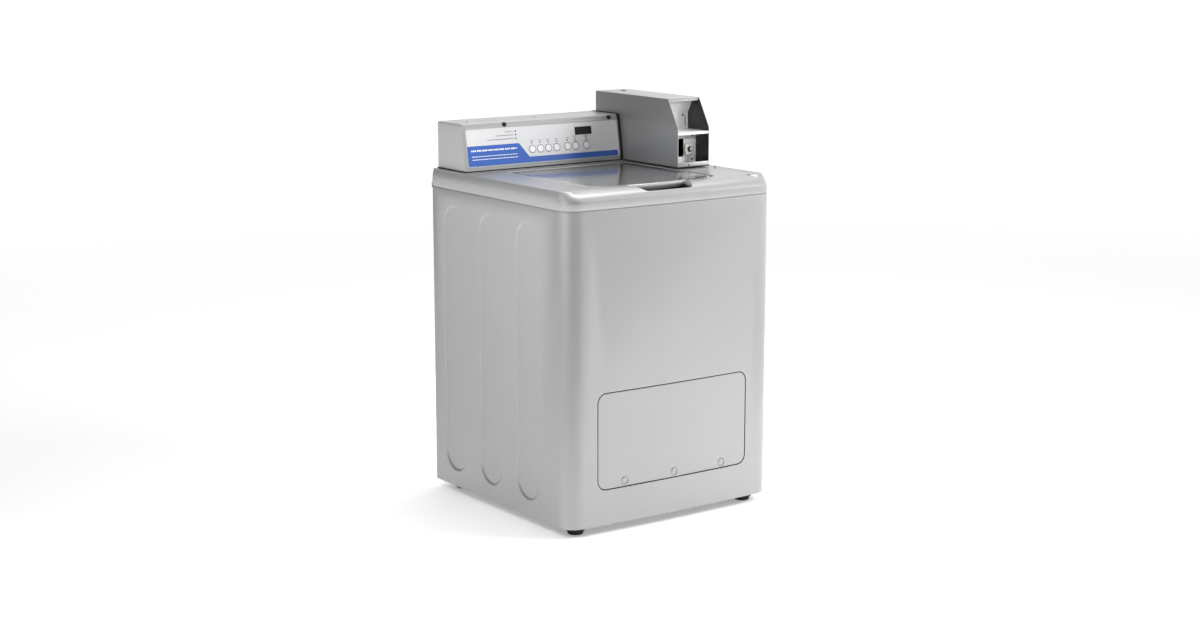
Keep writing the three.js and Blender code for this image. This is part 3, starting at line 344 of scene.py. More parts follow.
def loop_of(bm, points):
    """Adds a closed loop of vertices and its edges."""
    verts = [bm.verts.new(point) for point in points]
    edges = [bm.edges.new((verts[i - 1], verts[i])) for i in range(len(verts))]
    return verts, edges


def strip(bm, first, second, material=0, closed=True):
    """Joins two rows of equally many vertices with quads."""
    start = 0 if closed else 1
    for i in range(start, len(first)):
        face = bm.faces.new((first[i - 1], first[i], second[i], second[i - 1]))
        face.material_index = material


def loft(bm, rings):
    """Skins a stack of closed rings and closes both ends."""
    verts, _ = loop_of(bm, rings[0])
    bm.faces.new(verts)
    for ring in rings[1:]:
        following, _ = loop_of(bm, ring)
        strip(bm, verts, following)
        verts = following
    bm.faces.new(verts)
    bmesh.ops.recalc_face_normals(bm, faces=bm.faces)


def cut_across(bm, point, normal):
    """Adds edges where a plane crosses the mesh."""
    everything = list(bm.verts) + list(bm.edges) + list(bm.faces)
    bmesh.ops.bisect_plane(bm, geom=everything, dist=1e-7, plane_co=point, plane_no=normal)


def plate(bm, outer, holes=(), place=None, columns=(), material=0):
    """A flat face between rings.

    outer and each hole are lists of rings; a ring is a list of (u, v, depth) points. The face is filled
    between the first rings, and each ring is joined to the next. A hole given as (rings, True) gets a floor.
    columns are values of u where the result is cut, so that place can bend it.
    """
    rim = []
    for rings, floor in [(outer, False)] + list(holes):
        verts, edges = loop_of(bm, rings[0])
        rim += edges
        for ring in rings[1:]:
            following, _ = loop_of(bm, ring)
            strip(bm, verts, following, material)
            verts = following
        if floor:
            bm.faces.new(verts).material_index = material
    filled = bmesh.ops.triangle_fill(bm, use_beauty=True, use_dissolve=False, edges=rim)["geom"]
    for face in filled:
        if isinstance(face, bmesh.types.BMFace):
            face.material_index = material
    for u in columns:
        cut_across(bm, (u, 0, 0), (1, 0, 0))
    if place:
        for vert in bm.verts:
            vert.co = place(*vert.co)


def tidy(bm, outward=None):
    """Merges doubles and turns the faces out; outward is a direction that most faces look in."""
    bmesh.ops.remove_doubles(bm, verts=bm.verts, dist=1e-6)
    bmesh.ops.recalc_face_normals(bm, faces=bm.faces)
    if outward is not None:
        total = sum((face.normal * face.calc_area() for face in bm.faces), Vector())
        if total.dot(Vector(outward)) < 0:
            bmesh.ops.reverse_faces(bm, faces=bm.faces)
    return bm


def rounded_rect(left, right, low, high, radius, steps=8, depth=0.0):
    """Points of a rounded rectangle, anticlockwise."""
    points = []
    centres = (
        (right - radius, low + radius, -90), (right - radius, high - radius, 0),
        (left + radius, high - radius, 90), (left + radius, low + radius, 180))
    for u, v, start in centres:
        for i in range(steps + 1):
            turn = math.radians(start + 90 * i / steps)
            points.append((u + radius * math.cos(turn), v + radius * math.sin(turn), depth))
    return points


def rounded_rings(left, right, low, high, radius, profile, steps=8):
    """Rings of one rounded rectangle; profile lists (inset, depth)."""
    return [
        rounded_rect(left + inset, right - inset, low + inset, high - inset,
                     max(radius - inset, 0.0002), steps, depth)
        for inset, depth in profile]


def circle(u, v, radius, depth=0.0, steps=24):
    """Points of a circle, anticlockwise."""
    return [
        (u + radius * math.cos(math.tau * i / steps), v + radius * math.sin(math.tau * i / steps), depth)
        for i in range(steps)]


def rounded_corner(before, here, after, radius, share, steps):
    """A short curve in place of a corner; share limits it to that part of each side."""
    here = Vector(here)
    back = Vector(before) - here
    ahead = Vector(after) - here
    reach = min(radius, back.length * share, ahead.length * share)
    start = here + back.normalized() * reach
    end = here + ahead.normalized() * reach
    turns = [step / steps for step in range(steps + 1)]
    return [tuple(start * (1 - t) ** 2 + here * 2 * t * (1 - t) + end * t ** 2) for t in turns]


def turned(profile, steps=64, centre=(0, 0)):
    """A bmesh of [radius, height] points turned about Z; the ends may lie on the axis."""
    bm = bmesh.new()
    rows = []
    for radius, height in profile:
        if radius < 1e-6:
            rows.append([bm.verts.new((*centre, height))])
        else:
            rows.append([
                bm.verts.new((centre[0] + radius * math.cos(math.tau * i / steps),
                              centre[1] + radius * math.sin(math.tau * i / steps), height))
                for i in range(steps)])
    for first, second in zip(rows, rows[1:]):
        for i in range(steps):
            a, b = first[i - 1 if len(first) > 1 else 0], first[i if len(first) > 1 else 0]
            c, d = second[i if len(second) > 1 else 0], second[i - 1 if len(second) > 1 else 0]
            corners = []
            for vert in (a, b, c, d):
                if vert not in corners:
                    corners.append(vert)
            if len(corners) > 2:
                bm.faces.new(corners)
    bmesh.ops.recalc_face_normals(bm, faces=bm.faces)
    return bm


def filleted(profile, radius, steps=4):
    """Rounds the inner corners of a line of (radius, height) points."""
    result = [profile[0]]
    for before, here, after in zip(profile, profile[1:], profile[2:]):
        result += rounded_corner(before, here, after, radius, 0.45, steps)
    result.append(profile[-1])
    return result


def softened(corners, radii, steps=5, share=0.4):
    """A closed outline with each corner rounded by its own radius."""
    points = []
    for i, corner in enumerate(corners):
        after = corners[(i + 1) % len(corners)]
        points += rounded_corner(corners[i - 1], corner, after, radii[i], share, steps)
    return points


def block(bm, low, high, matrix=None, material=0):
    """Adds a box between two corners."""
    made = bmesh.ops.create_cube(bm, size=1)["verts"]
    low, high = Vector(low), Vector(high)
    for vert in made:
        vert.co = Vector([(low[k] + high[k]) / 2 + vert.co[k] * (high[k] - low[k]) for k in range(3)])
        if matrix:
            vert.co = matrix @ vert.co
    for face in {face for vert in made for face in vert.link_faces}:
        face.material_index = material


def screw(name, body, place, normal, radius=0.0042, material=None):
    """A pan-head screw, its head standing on place; its cross recess is two black bars on the head, painted
    shade in the recess.
    """
    profile = [
        (0, 0.0022), (radius * 0.5, 0.0021), (radius * 0.85, 0.0014), (radius, 0.0003), (radius, -0.0006)]
    bm = turned(profile, 20)
    # Black bars for the cross recess: painted shade in the recess.
    for turn in (0, math.pi / 2):
        block(bm, (-radius * 0.55, -radius * 0.11, 0.0019), (radius * 0.55, radius * 0.11, 0.0024),
              Matrix.Rotation(turn, 4, "Z"), 1)
    facing = Vector(normal).normalized().to_track_quat("Z", "Y").to_matrix().to_4x4()
    bm.transform(Matrix.Translation(place) @ facing)
    return piece_from(bm, name, [material or CHROME, RUBBER_AND_SHADE], body)


# ---------------------------------------------------------------- cabinet

def half_plan(inset=0.0):
    """The arc round the cabinet's left front corner, as (x, y)."""
    radius = CORNER_RADIUS - inset
    centre_x = -HALF_WIDTH + CORNER_RADIUS
    centre_y = bow(centre_x) + CORNER_RADIUS
    arc = []
    for i in range(ARC_STEPS + 1):
        turn = math.pi * (1 + i / ARC_STEPS / 2)
        arc.append((centre_x + radius * math.cos(turn), centre_y + radius * math.sin(turn)))
    return arc


def front_columns():
    """Places across the front where its bow gets a row of vertices."""
    return [-FLAT_REACH + 2 * FLAT_REACH * i / BOW_COLUMNS for i in range(1, BOW_COLUMNS)]


def plan_line(inset, rear_y):
    """The wrapper's outline from the rear left, round the front, to the rear right."""
    arc = half_plan(inset)
    bowed = [(x, bow(x, inset)) for x in front_columns()]
    right = [(-x, y) for x, y in reversed(arc)]
    side = -HALF_WIDTH + inset
    return [(side, rear_y)] + arc + bowed + right + [(-side, rear_y)]


OVAL_CENTRES = [0.2207, 0.0392, -0.1423]
OVAL_HALF = 0.055
OVAL_LOW = 0.069
OVAL_HIGH = 0.823
OVAL_PROFILE = [
    (-0.0035, 0), (-0.0015, 0), (0, 0.0001), (0.0015, 0.0007), (0.003, 0.0019), (0.0045, 0.0031),
    (0.006, 0.0039), (0.0075, 0.0042), (0.0105, 0.0043)]


def side_wall(sign):
    """One flat side with its three pressed ovals."""
    low, high, rear = CABINET_LOW.z, CABINET_HIGH.z - 0.001, CABINET_HIGH.y
    arc_start = half_plan()[0][1]
    outline = [(arc_start, low, 0), (rear, low, 0), (rear, high, 0), (arc_start, high, 0)]
    bm = bmesh.new()
    holes = []
    for centre in OVAL_CENTRES:
        rings = rounded_rings(
            centre - OVAL_HALF, centre + OVAL_HALF, OVAL_LOW, OVAL_HIGH, OVAL_HALF, OVAL_PROFILE, 14)
        holes.append((rings, True))
    plate(bm, [outline], holes, lambda y, z, depth: Vector((sign * (HALF_WIDTH - depth), y, z)))
    return tidy(bm, (sign, 0, 0))


def front_wall():
    """Bowed front with the hole for the access panel, and both corner arcs."""
    low, high = CABINET_LOW.z, CABINET_HIGH.z - 0.001
    bm = bmesh.new()
    outline = [(-FLAT_REACH, low, 0), (FLAT_REACH, low, 0), (FLAT_REACH, high, 0), (-FLAT_REACH, high, 0)]
    edge = [(-0.0025, 0), (-0.0012, 0), (-0.0004, 0.0003), (0, 0.0009), (0, 0.0052)]
    hole = panel_rings(ACCESS_GAP, 0.027, edge, 10)
    plate(bm, [outline], [(hole, False)],
          lambda x, z, depth: Vector((x, bow(x, depth), z)), front_columns())
    for sign in (1, -1):
        rows = [[bm.verts.new((sign * x, y, z)) for x, y in half_plan()] for z in (low, high)]
        strip(bm, rows[0], rows[1], closed=False)
    # The turned-in edges are painted black as painted shade in the gap.
    paint_shade_in_gap(bm)
    return tidy(bm, (0, -1, 0))


def paint_shade_in_gap(bm):
    """Gives the turned-in edges of the access hole black rubber: painted shade in the gap round the panel.
    """
    bm.faces.ensure_lookup_table()
    for face in bm.faces:
        middle = face.calc_center_median()
        if abs(middle.x) < FLAT_REACH and middle.y - bow(middle.x) > 0.0003:
            face.material_index = 1


def cabinet():
    """The wrapper: sides, front, a rolled top edge and a turned-in foot."""
    bm = front_wall()
    for sign in (-1, 1):
        wall = side_wall(sign)
        mesh = bpy.data.meshes.new("side")
        wall.to_mesh(mesh)
        wall.free()
        bm.from_mesh(mesh)
        bpy.data.meshes.remove(mesh)
    rear = CABINET_HIGH.y
    top = CABINET_HIGH.z
    foot = CABINET_LOW.z
    edges = [
        [(0, top - 0.001), (0.0003, top - 0.0003), (0.001, top), (0.012, top)],
        [(0, foot), (0.0005, foot - 0.0004), (0.002, foot), (0.014, foot)]]
    for profile in edges:
        rows = [[bm.verts.new((x, y, z)) for x, y in plan_line(inset, rear)] for inset, z in profile]
        for first, second in zip(rows, rows[1:]):
            strip(bm, first, second, closed=False)
    for sign in (-1, 1):
        rows = []
        for inset, proud in ((0, 0), (0.0005, 0.0002), (0.018, 0.0002)):
            x, y = sign * (HALF_WIDTH - inset), rear + proud
            rows.append([bm.verts.new((x, y, z)) for z in (foot, top - 0.001)])
        strip(bm, rows[0], rows[1], closed=False)
        strip(bm, rows[1], rows[2], closed=False)
    tidy(bm)
    return piece_from(bm, "cabinet_wrapper", [PAINT, RUBBER_AND_SHADE], "cabinet", ("cabinet_shell",))


DIMPLE_X = (-0.163, 0.0, 0.163)
DIMPLE_RISE = 0.0155


def panel_rings(grow, radius, profile, steps):
    """Rings round the access panel's outline, grown by a margin."""
    return rounded_rings(PANEL_LOW.x - grow, PANEL_HIGH.x + grow, PANEL_LOW.z - grow, PANEL_HIGH.z + grow,
                         radius, profile, steps)


def access_shade_ledge():
    """The joggled ledge behind the panel's gap, in black rubber as painted shade seen through the gap."""
    bm = bmesh.new()
    hole = panel_rings(-0.010, 0.015, [(0, 0), (0, 0.008)], 8)
    outer = panel_rings(0.014, 0.035, [(0, 0)], 8)
    behind = 0.0056
    plate(bm, outer, [(hole, False)], lambda x, z, depth: Vector((x, bow(x, depth + behind), z)),
          front_columns())
    return piece_from(tidy(bm, (0, -1, 0)), "access_shade_ledge", [RUBBER_AND_SHADE], "cabinet")


def access_panel():
    """The bowed removable panel: rolled edges, a short flange painted black as painted shade in the gap, and
    three round dimples.
    """
    roll = [(0.0028, 0), (0.0017, 0), (0.0009, 0.0002), (0.0003, 0.0007), (0, 0.0016), (0, 0.0050)]
    outer = panel_rings(0, 0.025, roll, 12)
    dimples = []
    groove = [
        (0.0135, 0), (0.0122, 0), (0.0114, 0.0010), (0.0106, 0.0019), (0.0098, 0.0019), (0.0088, 0.0009),
        (0.0075, 0.0005)]
    for x in DIMPLE_X:
        rings = [circle(x, PANEL_LOW.z + DIMPLE_RISE, radius, depth, 32) for radius, depth in groove]
        dimples.append((rings, True))
    bm = bmesh.new()
    plate(bm, outer, dimples, lambda x, z, depth: Vector((x, bow(x, depth), z)), front_columns())
    # Faces deeper than the rolled edge, the flange, get black rubber: painted shade in the gap round the
    # panel.
    for face in bm.faces:
        middle = face.calc_center_median()
        if middle.y - bow(middle.x) > 0.0022:
            face.material_index = 1
    return piece_from(tidy(bm, (0, -1, 0)), "front_access_panel", [PAINT, RUBBER_AND_SHADE], "access_panel",
                      ("access_panel",))


def rear_panel():
    """Rear sheet with pressed ribs, louvres and the hose recess."""
    low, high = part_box("rear_panel")
    y = high.y
    holes = []
    rib = [(-0.002, 0), (0, 0), (0.002, 0.0012), (0.004, 0.002), (0.006, 0.0022)]
    for x in (-0.26, 0.26):
        holes.append((rounded_rings(x - 0.02, x + 0.02, 0.10, 0.62, 0.0199, rib, 8), True))
    recess = [(-0.003, 0), (-0.001, 0.0), (0, 0.0008), (0.0004, 0.002), (0.0004, 0.0285)]
    holes.append((rounded_rings(0.10, 0.24, 0.765, 0.835, 0.010, recess, 6), True))
    slot_profile = [(-0.002, 0), (0, 0), (0.001, -0.001), (0.0018, -0.002)]
    for i in range(5):
        z = 0.200 + 0.024 * i
        holes.append((rounded_rings(-0.07, 0.07, z, z + 0.007, 0.0034, slot_profile, 5), True))
    port = [(0.0185, 0), (0.0172, 0.0003), (0.017, 0.003)]
    holes.append(([circle(-0.2, 0.7, r, d, 24) for r, d in port], False))
    cord_hole = [(0.0105, 0), (0.0092, 0.0002), (0.009, 0.003)]
    holes.append(([circle(0.262, 0.8, r, d, 20) for r, d in cord_hole], False))
    edge = [(0.001, 0), (0.0003, 0.0003), (0, 0.0012)]
    outer = rounded_rings(low.x, high.x, low.z, high.z, 0.003, edge, 2)
    bm = bmesh.new()
    plate(bm, outer, holes, lambda x, z, depth: Vector((x, y - depth, z)))
    return piece_from(tidy(bm, (0, 1, 0)), "rear_service_panel", [PAINT], "cabinet",
                      ("rear_panel",))


def feet():
    """Rubber pads, each turned in one with its stud."""
    for corner in ("front_left", "front_right", "rear_left", "rear_right"):
        low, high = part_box(f"foot_{corner}")
        x, y = (low.x + high.x) / 2, (low.y + high.y) / 2
        outline = [
            (0, 0.0), (0.0205, 0.0), (0.0220, 0.007), (0.0285, 0.014), (0.0290, 0.021), (0.0260, 0.0235),
            (0.0055, 0.0235), (0.0048, 0.030), (0.0048, 0.057), (0, 0.057)]
        bm = turned(filleted(outline, 0.0022), 40, (x, y))
        piece_from(bm, f"levelling_foot_{corner}", [RUBBER_AND_SHADE], f"foot_{corner}", (f"foot_{corner}",))


# ---------------------------------------------------------------- top cover

SIDE_ROLL = (0.009, 0.040)
FRONT_ROLL = (0.064, 0.028)
ROLL_STEPS = 14
LID_GAP = 0.0018
LID_RADIUS = 0.038
SEAT_Z = DECK_TOP - 0.019
DECK_UNDERSIDE = 0.882
TUB_HOLE = (-0.183, 0.183, -0.215, 0.118)
TUB_HOLE_RADIUS = 0.070
RISE_START = 0.170
RISE_LENGTH = 0.013
POCKET_X = -0.010
POCKET_HALF = 0.098
POCKET_FRONT_HALF = 0.078
POCKET_FRONT_Y = -0.3245
POCKET_BOTTOM = 0.8875


def cover_ring(side_inset, front_inset, side_z, front_z, rear_y):
    """A closed ring round the cover whose inset and height differ between its sides and its front."""
    points = []
    arc = half_plan()
    centre = (-HALF_WIDTH + CORNER_RADIUS, bow(-HALF_WIDTH + CORNER_RADIUS) + CORNER_RADIUS)

    def add(x, y, normal_x, normal_y, share):
        inset = side_inset + (front_inset - side_inset) * share
        z = side_z + (front_z - side_z) * share
        points.append((x - normal_x * inset, y - normal_y * inset, z))

    side_steps = 6
    for i in range(side_steps):
        y = rear_y + (arc[0][1] - rear_y) * i / side_steps
        add(-HALF_WIDTH, y, -1, 0, 0)
    for x, y in arc:
        normal = ((x - centre[0]) / CORNER_RADIUS, (y - centre[1]) / CORNER_RADIUS)
        share = math.sin(math.atan2(-normal[1], -normal[0])) ** 1.6 if normal[1] < -1e-9 else 0.0
        add(x, y, *normal, share)
    for x in front_columns():
        add(x, bow(x), 0, -1, 1)
    left = list(points)
    mirrored = [(-x, y, z) for x, y, z in reversed(left[: side_steps + len(arc)])]
    return left + mirrored


def smooth_step(value):
    """Eases from 0 to 1."""
    value = max(0.0, min(1.0, value))
    return value * value * (3 - 2 * value)


def lid_outline(grow, steps=10):
    """The lid's plan as (x, y): square at the rear, with round corners and a slight bow at the front."""
    half = LID_HIGH.x + grow
    rear = LID_HIGH.y + grow
    front = LID_LOW.y - grow
    radius = LID_RADIUS + grow
    curve = 0.007
    points = [(half, rear), (-half, rear)]
    reach = half - radius
    centre_y = front + curve + radius

    def corner(centre_x, start):
        for i in range(steps + 1):
            turn = math.pi * (start + i / steps / 2)
            points.append((centre_x + radius * math.cos(turn), centre_y + radius * math.sin(turn)))

    corner(-reach, 1)
    for i in range(1, 16):
        t = i / 16
        points.append((-reach + 2 * reach * t, front + curve * (1 - 4 * t * (1 - t))))
    corner(reach, 1.5)
    return points


def roll_rings(rear):
    """Rings from the deck's edge over the roll and down the outside."""
    rings = []
    for step in range(ROLL_STEPS + 1):
        turn = math.pi / 2 * (1 - step / ROLL_STEPS)
        inward, down = 1 - math.cos(turn), 1 - math.sin(turn)
        rings.append(cover_ring(
            SIDE_ROLL[0] * inward, FRONT_ROLL[0] * inward,
            RIDGE_TOP - SIDE_ROLL[1] * down, DECK_TOP - FRONT_ROLL[1] * down, rear))
    return rings


def fascia_rings(rear):
    """Rings from the foot of the outside to the cover's open underside."""
    foot = COVER_LOW.z + 0.012
    low = COVER_LOW.z
    levels = (
        (0, foot + 0.0015, 0), (0.0005, foot + 0.0004, 0), (0.0018, foot, 0), (0.0035, foot, 0),
        (0.0035, low, 0.004), (0.0055, low, 0.006), (0.0055, DECK_UNDERSIDE, 0.006))
    return [cover_ring(inset, inset, z, z, rear - short) for inset, z, short in levels]


def chain(bm, rings):
    """Joins a stack of closed rings, and gives the edges of the first and of the last."""
    verts, edges = loop_of(bm, rings[0])
    first = edges
    for ring in rings[1:]:
        following, edges = loop_of(bm, ring)
        strip(bm, verts, following)
        verts = following
    return first, edges


def raise_rear(bm):
    """Lifts the deck behind the lid to the height of the side ridges, by an eased step."""
    for step in (0, 0.0025, 0.005, 0.008, 0.011, RISE_LENGTH):
        cut_across(bm, (0, RISE_START + step, 0), (0, 1, 0))
    for vert in bm.verts:
        if abs(vert.co.z - DECK_TOP) < 0.0031 and vert.co.z < RIDGE_TOP and vert.co.y > 0.1:
            vert.co.z += (RIDGE_TOP - vert.co.z) * smooth_step((vert.co.y - RISE_START) / RISE_LENGTH)


def top_cover():
    """The pressed cover: side ridges, rolled front, sunken deck, lid recess and finger pocket, its inside
    black as painted shade.
    """
    rear = COVER_HIGH.y
    bm = bmesh.new()
    slope = [
        cover_ring(SIDE_ROLL[0] + extra, FRONT_ROLL[0] + extra, RIDGE_TOP - drop, DECK_TOP, rear)
        for extra, drop in ((0.0115, 0.003), (0.0085, 0.0026), (0.006, 0.0014), (0.003, 0.0002))]
    wall = [(0.0045, 0), (0.0030, 0), (0.0016, 0.0003), (0.0005, 0.0011), (0, 0.0026), (0, 0.0165)]
    recess = [[(x, y, DECK_TOP - depth) for x, y in lid_outline(LID_GAP + grow)] for grow, depth in wall]
    recess.append([(x, y, SEAT_Z) for x, y in lid_outline(LID_GAP)])
    drop = [(0.004, 0), (0.002, 0), (0.0005, 0.0006), (0, 0.002), (0, SEAT_Z - DECK_UNDERSIDE)]
    hole = [
        [(u, v, SEAT_Z - depth) for u, v, depth in ring]
        for ring in rounded_rings(*TUB_HOLE, TUB_HOLE_RADIUS, [(-grow, depth) for grow, depth in drop], 10)]
    deck_edges, bottom_edges = chain(bm, slope + roll_rings(rear) + fascia_rings(rear))
    recess_edges, seat_outer = chain(bm, recess)
    seat_inner, hole_bottom = chain(bm, hole)
    for edges in (deck_edges + recess_edges, seat_outer + seat_inner, bottom_edges + hole_bottom):
        bmesh.ops.triangle_fill(bm, use_beauty=True, edges=edges)
    raise_rear(bm)
    tidy(bm)
    cover = piece_from(bm, "pressed_top_cover", [COVER_PAINT, BLACK_AND_SHADE], "cover",
                       ("top_cover",))
    subtracted(cover, pocket_tool())
    # Faces inside the finger pocket get black plastic: painted shade under the lid's front edge.
    for face in cover.data.polygons:
        middle = face.center
        inside = abs(middle.x - POCKET_X) < POCKET_HALF and -0.322 < middle.y < LID_LOW.y + 0.011
        if inside and 0.885 < middle.z < 0.8995 and face.normal.z > -0.2:
            face.material_index = 1
    return cover


def pocket_tool():
    """The scoop that cuts the finger pocket: a trapezium with a round bottom, as far as the lid's lip."""
    rear_y, mouth_y = LID_LOW.y + 0.012, LID_LOW.y - 0.004
    levels = (
        (0.0022, DECK_TOP + 0.01), (0.0022, DECK_TOP - 0.001), (0, DECK_TOP - 0.0045),
        (-0.002, DECK_TOP - 0.012), (-0.006, POCKET_BOTTOM + 0.004), (-0.013, POCKET_BOTTOM + 0.0008),
        (-0.020, POCKET_BOTTOM))
    rings = []
    for grow, z in levels:
        half, front_half, front_y = POCKET_HALF + grow, POCKET_FRONT_HALF + grow, POCKET_FRONT_Y - grow
        corners = [
            (POCKET_X + half, rear_y), (POCKET_X + half, mouth_y),
            (POCKET_X + front_half, front_y), (POCKET_X - front_half, front_y),
            (POCKET_X - half, mouth_y), (POCKET_X - half, rear_y)]
        rings.append([(x, y, z) for x, y in softened(corners, [0.012] * 6)])
    bm = bmesh.new()
    loft(bm, rings)
    return placed("pocket_tool", bm, COVER_PAINT)


def lid():
    """The glossy lid: a rolled edge, and a plain inner skin."""
    top = LID_HIGH.z
    profile = [
        (0.014, 0), (0.011, 0.0001), (0.0075, 0.0005), (0.0045, 0.0013), (0.0022, 0.0027), (0.0007, 0.0045),
        (0, 0.0070), (0, 0.0145), (0.0006, 0.0158), (0.0025, 0.0160), (0.0028, 0.0040)]
    rings = [[(x, y, top - depth) for x, y in lid_outline(-inset)] for inset, depth in profile]
    bm = bmesh.new()
    loft(bm, rings)
    return piece_from(bm, "glossy_lid", [LID_PAINT], "lid", ("lid",))


# ---------------------------------------------------------------- console

FACE_MATRIX = Matrix.Translation(FACE_BASE) @ Matrix.Rotation(math.pi / 2 - FACE_LEAN, 4, "X")


def console_section():
    """The console's end outline as (y, z), from its front foot over the top to its rear foot."""
    lean = math.tan(FACE_LEAN)
    top = CONSOLE_HIGH.z
    front = CONSOLE_LOW.y
    corners = [(front, CONSOLE_LOW.z), (front + (top - CONSOLE_LOW.z) * lean, top),
               (CONSOLE_HIGH.y, top), (CONSOLE_HIGH.y, CONSOLE_LOW.z)]
    return softened(corners, [0.0045] * 4)


def console_housing():
    """Sheet body with stepped end caps, its edges rounded."""
    bm = bmesh.new()
    left, right = CONSOLE_LOW.x, CONSOLE_HIGH.x
    section = console_section()
    centre = sum((Vector(point) for point in section), Vector((0, 0))) / len(section)

    def ring(x, shrink):
        points = []
        for y, z in section:
            inward = centre - Vector((y, z))
            offset = inward.normalized() * shrink
            points.append((x, y + offset.x, max(z + offset.y, CONSOLE_LOW.z)))
        return points

    steps = [(left, 0.006), (left + 0.0007, 0.0035), (left + 0.002, 0.0016), (left + 0.004, 0.0004),
             (left + 0.0065, 0), (right - 0.0065, 0), (right - 0.004, 0.0004), (right - 0.002, 0.0016),
             (right - 0.0007, 0.0035), (right, 0.006)]
    loft(bm, [ring(*step) for step in steps])
    return piece_from(bm, "console_body", [CONSOLE_PAINT], "cover", ("console_housing",))


def gaskets_and_shade_strip():
    """Black foam under the console and the meter case, and a black strip at the console's right end that is
    painted shade in the gap to the meter case.
    """
    bm = bmesh.new()
    proud, thick = 0.0009, 0.0022
    middle_y, middle_z = 0.25, 1.0
    for low, high in ((CONSOLE_LOW, CONSOLE_HIGH), (METER_LOW, METER_HIGH)):
        corner = (high.x + proud * 0.5, high.y + proud, low.z + thick)
        block(bm, (low.x - proud, low.y - proud, low.z), corner)
    # The strip at the console's right end is painted shade filling the dark gap to the meter case.
    edge = []
    for y, z in console_section():
        edge.append((y - (proud if y < middle_y else 0), z + (proud if z > middle_z else 0)))
    rows = []
    for x in (CONSOLE_HIGH.x - 0.0075, CONSOLE_HIGH.x + 0.0020):
        rows.append([bm.verts.new((x, y, z)) for y, z in edge])
    strip(bm, rows[0], rows[1])
    bm.faces.new(rows[0])
    bm.faces.new(rows[1])
    bmesh.ops.recalc_face_normals(bm, faces=bm.faces)
    return piece_from(bm, "foam_gaskets", [RUBBER_AND_SHADE], "cover")


# Places on the face: across from the centre, and up from its foot.
BUTTON_X = [-0.1012, -0.0739, -0.0469, -0.0189, 0.0187, 0.0459, 0.0835]
BUTTON_V = 0.0509
WINDOW_BOX = (0.0475, 0.105, 0.081, 0.104)
PLUG_X = [-0.1865, 0.1688]
PLUG_V = 0.1245
INK = 0.00055


def on_face(bm):
    """Moves a mesh from the face's own (across, up, out) axes onto the console."""
    bm.transform(FACE_MATRIX)
    return bm


def control_panel():
    """The raised rim and the silver film inside it, with holes for the buttons and the window."""
    low, high = 0.0085, 0.1225
    left, right = CONSOLE_LOW.x + 0.006, CONSOLE_HIGH.x - 0.005
    bm = bmesh.new()
    rim = [(0.0042, -0.0016), (0.0034, -0.0016), (0.0018, -0.0014), (0.0006, -0.0008), (0, 0.0002)]
    outer = rounded_rings(left, right, low, high, 0.011, rim, 8)
    inner = rounded_rings(left + 0.0055, right - 0.0055, low + 0.0055, high - 0.0055, 0.007,
                          [(-0.0008, -0.0016), (0, -0.0016), (0.0005, -0.0012), (0.0008, -0.0003)], 8)
    plate(bm, outer, [(inner, False)], lambda u, v, depth: Vector((u, v, -depth)))
    on_face(bm)
    rim_piece = piece_from(tidy(bm, (0, -1, 0)), "console_rim", [CONSOLE_PAINT], "cover")
    bm = bmesh.new()
    film_left, film_right, film_low, film_high = left + 0.006, right - 0.006, low + 0.006, high - 0.006
    outer = rounded_rings(film_left, film_right, film_low, film_high, 0.0065, [(0, 0)], 8)
    holes = []
    for x in BUTTON_X:
        rings = [circle(x, BUTTON_V, radius, depth, 32) for radius, depth in ((0.0102, 0), (0.0101, 0.0022))]
        holes.append((rings, False))
    window = rounded_rings(*WINDOW_BOX, 0.0014, [(0, 0), (0.0003, 0.0006), (0.0004, 0.0014)], 4)
    holes.append((window, False))
    plate(bm, outer, holes, lambda u, v, depth: Vector((u, v, 0.0004 - depth)))
    on_face(bm)
    return piece_from(tidy(bm, (0, -1, 0)), "silver_control_film", [SILVER_FILM], "cover",
                      ("control_panel",))


def flat_shape(points, height=INK):
    """A printed shape on the face, one ink thickness proud of the film."""
    bm = bmesh.new()
    verts = [bm.verts.new((u, v, height)) for u, v in points]
    bm.faces.new(verts)
    bmesh.ops.triangulate(bm, faces=bm.faces)
    return bm


def merge(target, source, material=0):
    """Adds one mesh to another and frees it."""
    mesh = bpy.data.meshes.new("part")
    for face in source.faces:
        face.material_index = material
    source.to_mesh(mesh)
    source.free()
    target.from_mesh(mesh)
    bpy.data.meshes.remove(mesh)


def bar(u, v, width, height):
    """Corners of an upright rectangle about its centre."""
    left, right, low, high = u - width / 2, u + width / 2, v - height / 2, v + height / 2
    return [(left, low), (right, low), (right, high), (left, high)]


def band_outline(grow=0.0):
    """The blue band: a tall block at the left that falls by a slant to a long low stripe."""
    left, right, low, stripe_high, block_high = -0.3135, 0.1905, 0.0125, 0.0306, 0.0704
    corners = [
        (left, low), (right, low), (right, stripe_high), (-0.1125, stripe_high), (-0.1435, block_high),
        (left, block_high)]
    less = grow * 0.4
    grown = [(-grow, -grow), (grow, -grow), (grow, grow), (less, grow), (less, grow), (-grow, grow)]
    moved = [(u + du, v + dv) for (u, v), (du, dv) in zip(corners, grown)]
    return softened(moved, [0.007, 0.005, 0.005, 0.002, 0.0025, 0.0008], share=1.0)


def dashes(bm, left, right, v, height, pattern, material):
    """A line of small blocks that reads as a line of small print without being any."""
    u = left
    index = 0
    while u < right:
        width = min(pattern[index % len(pattern)] * height, right - u)
        merge(bm, flat_shape(bar(u + width / 2, v, width, height), INK * 1.5), material)
        u += width + height * (0.75 if index % 3 == 2 else 0.3)
        index += 1


